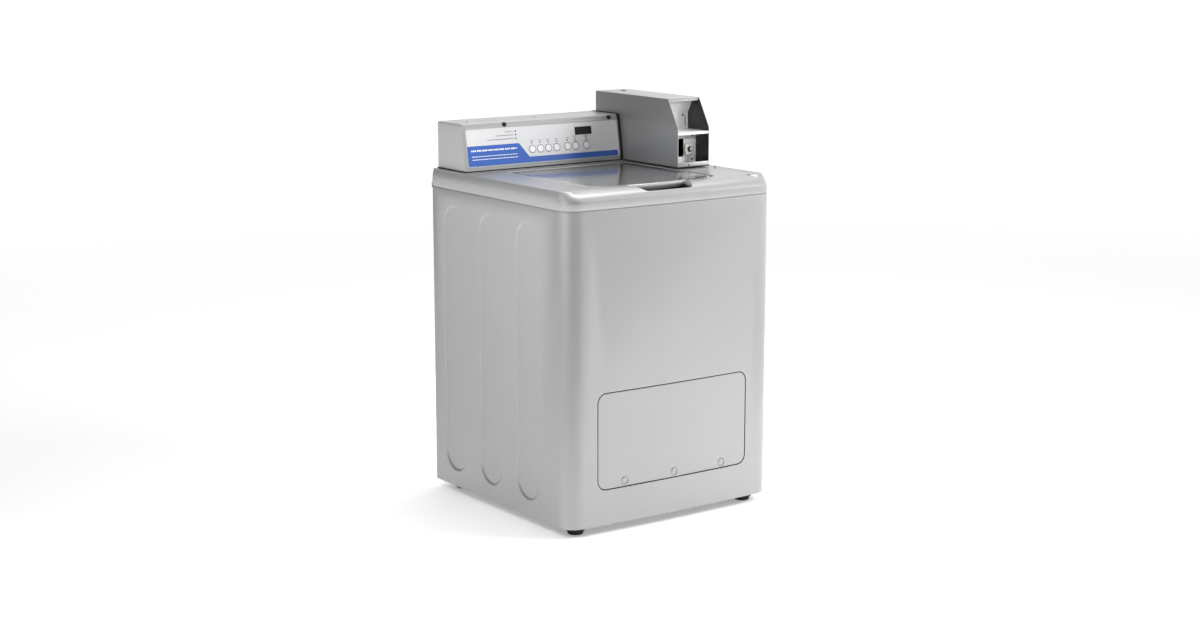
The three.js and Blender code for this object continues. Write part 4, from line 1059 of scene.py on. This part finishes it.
def control_print():
    """Blue band, greeked lines, status dots, and the rings and marks of the buttons."""
    bm = bmesh.new()
    merge(bm, flat_shape(band_outline(0.0011), INK * 0.7), 1)
    merge(bm, flat_shape(band_outline(0), INK), 0)
    dashes(bm, -0.302, -0.152, 0.0572, 0.0044, (1.0, 0.8, 1.1, 0.9), 2)
    dashes(bm, -0.300, -0.153, 0.0412, 0.0021, (0.9, 1.6, 1.2, 0.7, 1.4), 2)
    dashes(bm, -0.300, -0.151, 0.0328, 0.0021, (1.3, 0.8, 1.5, 1.0), 2)
    for v, reach in ((0.1041, 0.187), (0.0944, 0.2186), (0.0843, 0.2465)):
        merge(bm, flat_shape([(u, w) for u, w, _ in circle(-0.1525, v, 0.0024)], INK), 3)
        dashes(bm, -reach, -0.1605, v, 0.0016, (0.9, 1.3, 1.1, 0.7), 3)
    for x in BUTTON_X:
        merge(bm, flat_shape([(u, w) for u, w, _ in circle(x, BUTTON_V, 0.0112, steps=40)], INK * 1.1), 3)
        diamond = [(x, 0.0658), (x + 0.0025, 0.0686), (x, 0.0714), (x - 0.0025, 0.0686)]
        merge(bm, flat_shape(diamond), 3)
        dashes(bm, x - 0.0050, x + 0.0050, 0.0748, 0.0018, (1.0, 0.8), 3)
    for x in BUTTON_X[5:]:
        dashes(bm, x - 0.007, x + 0.007, 0.0785, 0.0014, (1.1, 0.8), 3)
        dashes(bm, x - 0.008, x + 0.008, 0.0635, 0.0014, (1.1, 0.8), 3)
    on_face(bm)
    return piece_from(bm, "control_print", [BLUE_FILM, EDGE_FILM, WHITE_INK, GREY_INK], "cover")


def buttons():
    """Seven white caps with a dished top."""
    profile = [(0, 0.0017), (0.0045, 0.00175), (0.0072, 0.0019), (0.0084, 0.0020), (0.0093, 0.0016),
               (0.0097, 0.0008), (0.0097, -0.0024), (0, -0.0024)]
    for i, x in enumerate(BUTTON_X, 1):
        bm = turned(profile, 36)
        bm.transform(Matrix.Translation((x, BUTTON_V, 0)))
        node = f"button_{i}"
        piece_from(on_face(bm), f"push_button_{i}", [BUTTON], node, (node,))


def display():
    """Dark window with a row of unlit digits behind it."""
    left, right, low, high = WINDOW_BOX
    bm = bmesh.new()
    rings = rounded_rings(left + 0.0003, right - 0.0003, low + 0.0003, high - 0.0003, 0.0013,
                          [(0.001, 0), (0.0003, 0.0001), (0, 0.0006), (0, 0.002)], 4)
    plate(bm, rings, place=lambda u, v, depth: Vector((u, v, 0.0008 - depth * 0.3)))
    long, thick, half = 0.0052, 0.0011, 0.0031
    for i in range(4):
        u = left + 0.0095 + i * 0.0108
        v = (low + high) / 2
        for rise in (0, 2 * half, -2 * half):
            merge(bm, flat_shape(bar(u, v + rise, long, thick), 0.0009), 1)
        for across, rise in ((-half, half), (half, half), (-half, -half), (half, -half)):
            merge(bm, flat_shape(bar(u + across, v + rise, thick, long), 0.0009), 1)
    on_face(bm)
    return piece_from(bm, "dark_display", [WINDOW, DIGITS], "cover", ("display_window",))


def plugs():
    """Domed black blanking plugs."""
    profile = [
        (0, 0.0052), (0.0028, 0.0048), (0.0050, 0.0036), (0.0065, 0.0020), (0.0070, 0.0006),
        (0.0070, -0.0004)]
    for side, x in zip(("left", "right"), PLUG_X):
        bm = turned(profile, 32)
        bm.transform(Matrix.Translation((x, PLUG_V, 0)))
        piece_from(on_face(bm), f"blanking_plug_{side}", [BLACK_AND_SHADE], "cover",
                   (f"plug_{side}",))


# ---------------------------------------------------------------- coin-meter case

METER_SHEET = 0.0019
METER_KNEE_Z = 1.023
METER_SLANT_Y = -0.027
DOOR_LOCK_X = 0.272
DOOR_LOCK_Y = 0.267


def meter_case():
    """Thick sheet case, open at the front; its inner side faces are near-black as painted shade inside the
    case, and its front edges and front lip are bright sheet.
    """
    left, right, sheet = METER_LOW.x, METER_HIGH.x, METER_SHEET
    bottom, top, rear, front = METER_LOW.z, METER_HIGH.z, METER_HIGH.y, METER_LOW.y
    bm = bmesh.new()
    side = [(front, bottom), (front, METER_KNEE_Z), (METER_SLANT_Y, top), (rear, top), (rear, bottom)]
    for x0, x1, inner in ((left, left + sheet, 1), (right - sheet, right, 0)):
        verts0 = [bm.verts.new((x0, y, z)) for y, z in side]
        verts1 = [bm.verts.new((x1, y, z)) for y, z in side]
        outer_face, inner_face = bm.faces.new(verts0), bm.faces.new(verts1)
        # The inner side faces get the near-black metal: painted shade inside the case.
        (inner_face if inner else outer_face).material_index = 1
        for i in range(len(side)):
            edge = bm.faces.new((verts0[i - 1], verts0[i], verts1[i], verts1[i - 1]))
            edge.material_index = 2 if i in (1, 2) else 0
    block(bm, (left + sheet, rear - sheet, bottom), (right - sheet, rear, top))
    block(bm, (left + sheet, front, bottom), (right - sheet, rear - sheet, bottom + sheet))
    lip_top = bottom + 0.014
    block(bm, (left + sheet, front, bottom + sheet), (right - sheet, front + sheet, lip_top), material=2)
    bmesh.ops.recalc_face_normals(bm, faces=bm.faces)
    case = piece_from(bm, "meter_sheet_case", [METER_PAINT, METER_INSIDE_SHADE, BRIGHT], "cover",
                      ("meter_case",))
    return bevelled(case, 0.0005, 2)


def meter_door():
    """Bright top door with a folded front lip."""
    bm = bmesh.new()
    low, high = DOOR_LOW, DOOR_HIGH
    under = high.z - METER_SHEET
    block(bm, (low.x, low.y, under), high)
    block(bm, (low.x + 0.0022, low.y + 0.002, low.z), (high.x - 0.0022, low.y + 0.0035, under))
    door = piece_from(bm, "meter_top_door", [DOOR_STEEL], "meter_door", ("meter_door",))
    return bevelled(door, 0.0006, 3)


def door_lock():
    """The cam lock in the door: a round head with a key slot drawn as a black bar, painted shade in the
    slot, and the cam below.
    """
    low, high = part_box("meter_door_lock")
    x, y, top = DOOR_LOCK_X, DOOR_LOCK_Y, DOOR_HIGH.z
    tail = low.z + 0.002 - top
    profile = [
        (0, 0.0024), (0.0062, 0.0024), (0.0066, 0.0031), (0.0084, 0.0031), (0.0094, 0.0020),
        (0.0095, 0.0003), (0.0077, 0.0003), (0.0077, tail), (0, tail)]
    bm = turned([(radius, top + rise) for radius, rise in profile], 36, (x, y))
    # A black bar for the key slot: painted shade in the slot.
    block(bm, (x - 0.0008, y - 0.0036, top + 0.0020), (x + 0.0008, y + 0.0036, top + 0.0026), material=1)
    block(bm, (x - 0.006, y - 0.006, low.z), (x + 0.006, high.y, low.z + 0.0024))
    return piece_from(bm, "cam_lock", [CHROME, RUBBER_AND_SHADE], "meter_door_lock",
                      ("meter_door_lock",))


def vault_lock():
    """White square collar with rounded corners, and the keyed plug in it."""
    low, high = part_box("vault_lock_collar")
    x, z = (low.x + high.x) / 2, (low.z + high.z) / 2
    edge = [(0.0045, 0), (0.0032, 0.0001), (0.0015, 0.0008), (0.0004, 0.002), (0, 0.0036), (0, 0.0100)]
    rings = rounded_rings(low.x, high.x, low.z, high.z, 0.009, edge, 6)
    hole = [circle(x, z, radius, depth, 32) for radius, depth in
            ((0.0098, 0), (0.0090, 0.0002), (0.0085, 0.0010), (0.0085, 0.0100))]
    bm = bmesh.new()
    plate(bm, rings, [(hole, False)], lambda u, v, depth: Vector((u, low.y + depth, v)))
    piece_from(tidy(bm, (0, -1, 0)), "white_lock_collar", [WHITE], "cover",
               ("vault_lock_collar",))
    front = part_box("vault_lock_plug")[0].y
    profile = [
        (0, 0.0003), (0.0066, 0.0003), (0.0072, 0), (0.0080, 0.0004), (0.0082, 0.0012), (0.0082, 0.026),
        (0, 0.026)]
    bm = turned(profile, 36)
    # A black bar for the keyhole: painted shade in the slot.
    block(bm, (-0.0009, -0.0038, -0.0002), (0.0009, 0.0038, 0.0004), material=1)
    block(bm, (-0.005, -0.006, 0.0220), (0.005, 0.022, 0.0245))
    upright = Matrix(((1, 0, 0, x), (0, 0, 1, front + 0.0002), (0, 1, 0, z), (0, 0, 0, 1)))
    bm.transform(upright)
    bmesh.ops.recalc_face_normals(bm, faces=bm.faces)
    piece_from(bm, "lock_plug_with_keyhole", [CHROME, RUBBER_AND_SHADE], "vault_lock_plug",
               ("vault_lock_plug",))


# ---------------------------------------------------------------- tub, basket and agitator

def wash_basket():
    """Stainless basket with rows of small holes."""
    low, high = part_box("wash_basket")
    radius, floor, rim = high.x, low.z, high.z
    columns, rows, hole_radius = 96, 15, 0.0026
    foot = floor + 0.03
    height = rim - foot
    inner = radius - 0.0012
    bm = bmesh.new()
    grid = {}

    def on_wall(turn, z):
        return bm.verts.new((inner * math.cos(turn), inner * math.sin(turn), z))

    def corner(i, j):
        key = (i % columns, j)
        if key not in grid:
            grid[key] = on_wall(math.tau * i / columns, foot + height * j / rows)
        return grid[key]

    for j in range(rows):
        for i in range(columns):
            square = [corner(i, j), corner(i + 1, j), corner(i + 1, j + 1), corner(i, j + 1)]
            if (i + j) % 2 or j in (0, rows - 1):
                bm.faces.new(square)
                continue
            ring = []
            for k in range(8):
                around = math.tau * k / 8 + math.pi / 8 - math.pi
                turn = math.tau * (i + 0.5) / columns + hole_radius * math.cos(around) / inner
                ring.append(on_wall(turn, foot + height * (j + 0.5) / rows + hole_radius * math.sin(around)))
            for k in range(4):
                a, b = square[k], square[(k + 1) % 4]
                p, q, r = ring[2 * k], ring[(2 * k + 1) % 8], ring[(2 * k + 2) % 8]
                bm.faces.new((a, q, p))
                bm.faces.new((a, b, q))
                bm.faces.new((b, r, q))
    profile = [(inner, foot), (inner - 0.006, floor + 0.018), (radius - 0.032, floor + 0.001),
               (0.062, floor + 0.001)]
    merge(bm, turned(filleted(profile, 0.012), columns))
    bmesh.ops.remove_doubles(bm, verts=bm.verts, dist=1e-5)
    bmesh.ops.recalc_face_normals(bm, faces=bm.faces)
    bmesh.ops.reverse_faces(bm, faces=bm.faces)
    basket = piece_from(bm, "perforated_basket", [STAINLESS], "basket", ("wash_basket",))
    return thickened(basket, -0.001)


def balance_ring():
    """The hollow ring on the basket's rim, with its edges rounded."""
    low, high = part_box("balance_ring")
    outline = [(0.236, low.z + 0.006), (0.240, low.z), (high.x, low.z), (high.x, low.z + 0.016),
               (high.x - 0.006, high.z), (0.240, high.z), (0.236, low.z + 0.016), (0.236, low.z + 0.006)]
    bm = turned(filleted(outline, 0.003), 96)
    piece_from(bm, "balance_ring_smooth", [WHITE], "basket", ("balance_ring",))


def tub_ring():
    """The splash ring on the tub's rim."""
    low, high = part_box("tub_cover")
    outer, inner, lip = high.x, 0.228, 0.231
    outline = [
        (inner, low.z), (lip, low.z), (lip, low.z + 0.013), (outer, low.z + 0.0103), (outer, low.z + 0.014),
        (lip, high.z), (inner, high.z), (inner, low.z)]
    bm = turned(filleted(outline, 0.0015), 96)
    piece_from(bm, "tub_cover_ring", [TUB], "tub", ("tub_cover",))


# One fin's crest from its foot to its top: distance from the axis, height, and half its thickness.
FIN_CREST = (
    (0.190, 0.378, 0.004), (0.182, 0.404, 0.005), (0.150, 0.424, 0.006), (0.118, 0.440, 0.007),
    (0.090, 0.474, 0.008), (0.074, 0.520, 0.008), (0.064, 0.570, 0.007), (0.050, 0.610, 0.004))


def agitator_fin(heading):
    """One sweeping fin with a round crest, its sides running into the post."""
    fin = bmesh.new()
    crest, root = [], []
    for reach, z, half in FIN_CREST:
        offsets = (-half, -half * 0.9, 0, half * 0.9, half)
        drops = (0.009, 0.003, 0, 0.003, 0.009)
        row = []
        for offset, drop in zip(offsets, drops):
            inward = 0.006 if offset else 0.0
            row.append(fin.verts.new((reach - inward, offset, z - drop)))
        crest.append(row)
        root.append([fin.verts.new((0.035, offset, z - 0.03)) for offset in (-half, half)])
    for first, second in zip(crest, crest[1:]):
        strip(fin, first, second, closed=False)
    for i in range(len(root) - 1):
        for side, edge in ((0, 0), (1, -1)):
            fin.faces.new((root[i][side], root[i + 1][side], crest[i + 1][edge], crest[i][edge]))
    fin.transform(Matrix.Rotation(heading, 4, "Z"))
    bmesh.ops.recalc_face_normals(fin, faces=fin.faces)
    return fin


def agitator():
    """White agitator: flared skirt, four sweeping fins and a post with a cap."""
    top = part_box("agitator")[1].z
    profile = [
        (0, top), (0.030, top - 0.001), (0.040, top - 0.022), (0.044, top - 0.096), (0.051, 0.500),
        (0.076, 0.432), (0.148, 0.392), (0.195, 0.374), (0.195, 0.368), (0.188, 0.367)]
    bm = turned(filleted(profile, 0.012, 5), 72)
    for index in range(4):
        merge(bm, agitator_fin(math.radians(90 * index + 45)))
    piece_from(bm, "finned_agitator", [WHITE], "agitator", ("agitator",), angle=50)


def outer_tub():
    """The moulded tub with its four hanger arms and twelve upright ribs."""
    low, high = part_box("outer_tub")
    radius, wall, hole = 0.285, 0.004, 0.044
    inner = radius - wall
    outline = [
        (hole, low.z), (radius - 0.020, low.z), (radius, low.z + 0.025), (radius, high.z), (inner, high.z),
        (inner, low.z + 0.027), (radius - 0.022, low.z + wall), (hole, low.z + wall)]
    bm = turned(filleted(outline, 0.008), 96)
    for x in (-0.262, 0.262):
        for y in (-0.250, 0.250):
            turn = Matrix.Rotation(math.atan2(y, x), 4, "Z")
            block(bm, (0.283, -0.020, 0.3563), (0.380, 0.020, 0.3703), turn)
            block(bm, (0.283, -0.002, 0.3300), (0.330, 0.002, 0.3563), turn)
    for index in range(12):
        turn = Matrix.Rotation(math.tau * index / 12, 4, "Z")
        block(bm, (0.2845, -0.0015, 0.34), (0.2885, 0.0015, 0.79), turn)
    return piece_from(bm, "ribbed_outer_tub", [TUB], "tub", ("outer_tub",))


def fasteners():
    """The small screws that hold the console, the rear sheets and the meter's plates."""
    for index, x in enumerate((-0.2726, -0.0499)):
        screw(f"console_top_screw_{index}", "cover", Vector((x, 0.255, CONSOLE_HIGH.z)), (0, 0, 1), 0.003)
    plate_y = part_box("vault_plate")[0].y
    for index, z in enumerate((0.997, 0.929)):
        screw(f"vault_plate_screw_{index}", "cover", Vector((0.303, plate_y, z)), (0, -1, 0), 0.004)
    screw("meter_lip_screw", "cover", Vector((0.248, METER_LOW.y, METER_LOW.z + 0.0065)), (0, -1, 0), 0.0022,
          BLACK_AND_SHADE)
    screw("cover_screw", "cover", Vector((0.3157, -0.103, RIDGE_TOP - 0.0007)), (0, 0, 1), 0.003,
          BLACK_AND_SHADE)
    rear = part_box("rear_panel")[1]
    places = [(x, z) for x in (-0.328, 0.328) for z in (0.06, 0.32, 0.58, 0.84)]
    places += [(-0.11, 0.05), (0.11, 0.05)]
    for index, (x, z) in enumerate(places):
        screw(f"rear_screw_{index}", "cabinet", Vector((x, rear.y, z)), (0, 1, 0), 0.0042)
    for index, x in enumerate((-0.29, -0.06, 0.17)):
        place = Vector((x, CONSOLE_HIGH.y, 0.935))
        screw(f"console_rear_screw_{index}", "cover", place, (0, 1, 0), 0.004)


# ---------------------------------------------------------------- carried-over nodes

CARRIED = {
    "base_frame": ZINC, "support_bracket": ZINC, "motor_pulley": ZINC,
    "gearcase": CAST, "motor": CAST, "spin_tube": CAST, "drive_pulley": CAST,
    "drive_shaft": STAINLESS, "drive_belt": RUBBER_AND_SHADE, "drain_pump": BLACK_AND_SHADE, "drain_port": BLACK_AND_SHADE,
    "cord_bush": BLACK_AND_SHADE, "cover_clip_left": BLACK_AND_SHADE, "cover_clip_right": BLACK_AND_SHADE, "fill_spout": BLACK_AND_SHADE,
    "inlet_valve": WHITE, "lid_switch": WHITE, "lid_hinge_pin": CHROME, "control_board": BOARD,
    "coin_bracket": PLATE, "vault_plate": PLATE,
}
for corner_name in ("front_left", "front_right", "rear_left", "rear_right"):
    CARRIED[f"suspension_rod_{corner_name}"] = ZINC
    CARRIED[f"suspension_spring_{corner_name}"] = SPRING


def dress_nodes():
    """Gives each carried-over CAD node its material."""
    for name, material in CARRIED.items():
        for slot in nodes[name].material_slots:
            slot.material = material


# ---------------------------------------------------------------- studio

# World light by heading: degrees from the front (-Y) towards the left (-X), and strength.
SURROUNDINGS = (
    (-180, 0.95), (-110, 0.95), (-66, 1.1), (-46, 1.25), (-34, 0.6), (-18, 0.12), (15, 0.06), (42, 0.06),
    (66, 0.30), (88, 0.30), (112, 0.08), (150, 0.06), (180, 0.5))


OVERHEAD_STARTS = 0.72
OVERHEAD_STRENGTH = 0.6


def floor_material():
    """Pale paper with a faint fibre; it glows more away from the middle, so that it stays white there."""
    shader = Shader("pale_floor")
    shader.set(Roughness=0.7, Specular_IOR_Level=0.2, Emission_Color=(1, 1, 1, 1))
    distance = shader.tree.nodes.new("ShaderNodeVectorMath")
    distance.operation = "LENGTH"
    shader.join(shader.place, distance.inputs[0])
    glow = shader.remap(distance.outputs["Value"], 0.30, 0.60, 1.8, 8.0)
    shader.join(glow, shader.surface.inputs["Emission Strength"])
    fibre = shader.noise(40, 3)
    shader.colour(shader.blend(fibre, (0.86, 0.86, 0.86), (0.90, 0.90, 0.90)))
    shader.bump(fibre, 0.02, 0.0005)
    return shader.material


def backdrop():
    """A white surround that only the camera sees, so that each view has the same plain background."""
    bm = bmesh.new()
    bmesh.ops.create_uvsphere(bm, u_segments=48, v_segments=24, radius=50)
    shader = Shader("white_backdrop")
    shader.set(Base_Color=(0, 0, 0, 1), Roughness=1.0, Specular_IOR_Level=0.0)
    shader.set(Emission_Color=(1, 1, 1, 1), Emission_Strength=0.97)
    surround = placed("backdrop", bm, shader.material)
    surround.visible_diffuse = False
    surround.visible_glossy = False
    surround.visible_transmission = False
    surround.visible_shadow = False


def floor():
    """A wide pale floor."""
    bm = bmesh.new()
    bmesh.ops.create_grid(bm, x_segments=1, y_segments=1, size=60)
    placed("floor", bm, floor_material())


def surroundings():
    """World light whose strength depends on the heading, with an even light overhead."""
    world = bpy.data.worlds.new("studio")
    scene.world = world
    world.use_nodes = True
    tree = world.node_tree
    background = tree.nodes["Background"]
    direction = tree.nodes.new("ShaderNodeTexCoord").outputs["Generated"]
    parts = tree.nodes.new("ShaderNodeSeparateXYZ")
    tree.links.new(direction, parts.inputs["Vector"])

    def maths(operation, first, second):
        node = tree.nodes.new("ShaderNodeMath")
        node.operation = operation
        for socket, value in ((node.inputs[0], first), (node.inputs[1], second)):
            if isinstance(value, float):
                socket.default_value = value
            else:
                tree.links.new(value, socket)
        return node.outputs["Value"]

    left = maths("MULTIPLY", parts.outputs["X"], -1.0)
    front = maths("MULTIPLY", parts.outputs["Y"], -1.0)
    heading = maths("ARCTAN2", left, front)
    turn = maths("MULTIPLY_ADD", heading, 1 / math.tau)
    turn.node.inputs[2].default_value = 0.5
    ramp = tree.nodes.new("ShaderNodeValToRGB")
    ramp.color_ramp.interpolation = "EASE"
    stops = ramp.color_ramp.elements
    while len(stops) < len(SURROUNDINGS):
        stops.new(0.5)
    brightest = max(strength for _, strength in SURROUNDINGS)
    for stop, (degrees, strength) in zip(stops, SURROUNDINGS):
        stop.position = (degrees + 180) / 360
        stop.color = (*(strength / brightest,) * 3, 1)
    tree.links.new(turn, ramp.inputs["Fac"])
    round_about = maths("MULTIPLY", ramp.outputs["Color"], brightest)
    overhead = tree.nodes.new("ShaderNodeMapRange")
    overhead.inputs["From Min"].default_value = OVERHEAD_STARTS
    tree.links.new(parts.outputs["Z"], overhead.inputs["Value"])
    blend = tree.nodes.new("ShaderNodeMix")
    tree.links.new(overhead.outputs["Result"], blend.inputs["Factor"])
    tree.links.new(round_about, blend.inputs["A"])
    blend.inputs["B"].default_value = OVERHEAD_STRENGTH
    tree.links.new(blend.outputs["Result"], background.inputs["Strength"])
    background.inputs["Color"].default_value = (1, 1, 1, 1)


def aimed_light(name, kind, place, target, power):
    """A light that looks at a point and that the camera does not see."""
    data = bpy.data.lights.new(name, kind)
    data.energy = power
    light = bpy.data.objects.new(name, data)
    light.location = place
    light.visible_camera = False
    light.visible_glossy = False
    light.rotation_euler = (Vector(target) - Vector(place)).to_track_quat("-Z", "Y").to_euler()
    scene.collection.objects.link(light)
    return light


def softboxes():
    """Three square lights; only the top one shows in gloss."""
    lights = (
        ("right_softbox", (1.75, -1.6, 1.9), (0.1, -0.3, 0.9), 1.2, 66),
        ("left_softbox", (-1.3, -0.45, 1.25), (-0.343, -0.2, 0.75), 0.7, 13),
        ("top_softbox", (0.9, 0.9, 3.6), (0, 0, 0.9), 2.0, 30))
    for name, place, target, size, power in lights:
        light = aimed_light(name, "AREA", place, target, power)
        light.data.shape = "SQUARE"
        light.data.size = size
        light.visible_glossy = name == "top_softbox"


def meter_spot():
    """A narrow spot that reaches into the coin-meter bays."""
    light = aimed_light("meter_spot", "SPOT", (-0.75, -2.3, 1.75), (0.268, -0.02, 1.0), 120)
    light.data.spot_size = math.radians(6.5)
    light.data.spot_blend = 0.5
    light.data.shadow_soft_size = 0.12


EYE_PLACE = (-3.3054, -4.6045, 1.6096)
EYE_YAW = 35.631
EYE_PITCH = 10.928
EYE_LENS = 62.196


def camera():
    """The camera in front of the machine's left corner, looking slightly down."""
    data = bpy.data.cameras.new("camera")
    data.sensor_width = 36
    data.lens = EYE_LENS
    eye = bpy.data.objects.new("camera", data)
    eye.location = EYE_PLACE
    yaw, pitch = math.radians(EYE_YAW), math.radians(EYE_PITCH)
    looking = (math.sin(yaw) * math.cos(pitch), math.cos(yaw) * math.cos(pitch), -math.sin(pitch))
    eye.rotation_euler = Vector(looking).to_track_quat("-Z", "Y").to_euler()
    scene.collection.objects.link(eye)
    scene.camera = eye
    scene.view_settings.view_transform = "Standard"


camera()
surroundings()
floor()
softboxes()
backdrop()
meter_spot()
dress_nodes()
cabinet()
access_shade_ledge()
access_panel()
rear_panel()
feet()
top_cover()
lid()
console_housing()
gaskets_and_shade_strip()
control_panel()
control_print()
buttons()
display()
plugs()
meter_case()
meter_door()
door_lock()
vault_lock()
fasteners()
outer_tub()
tub_ring()
wash_basket()
balance_ring()
agitator()
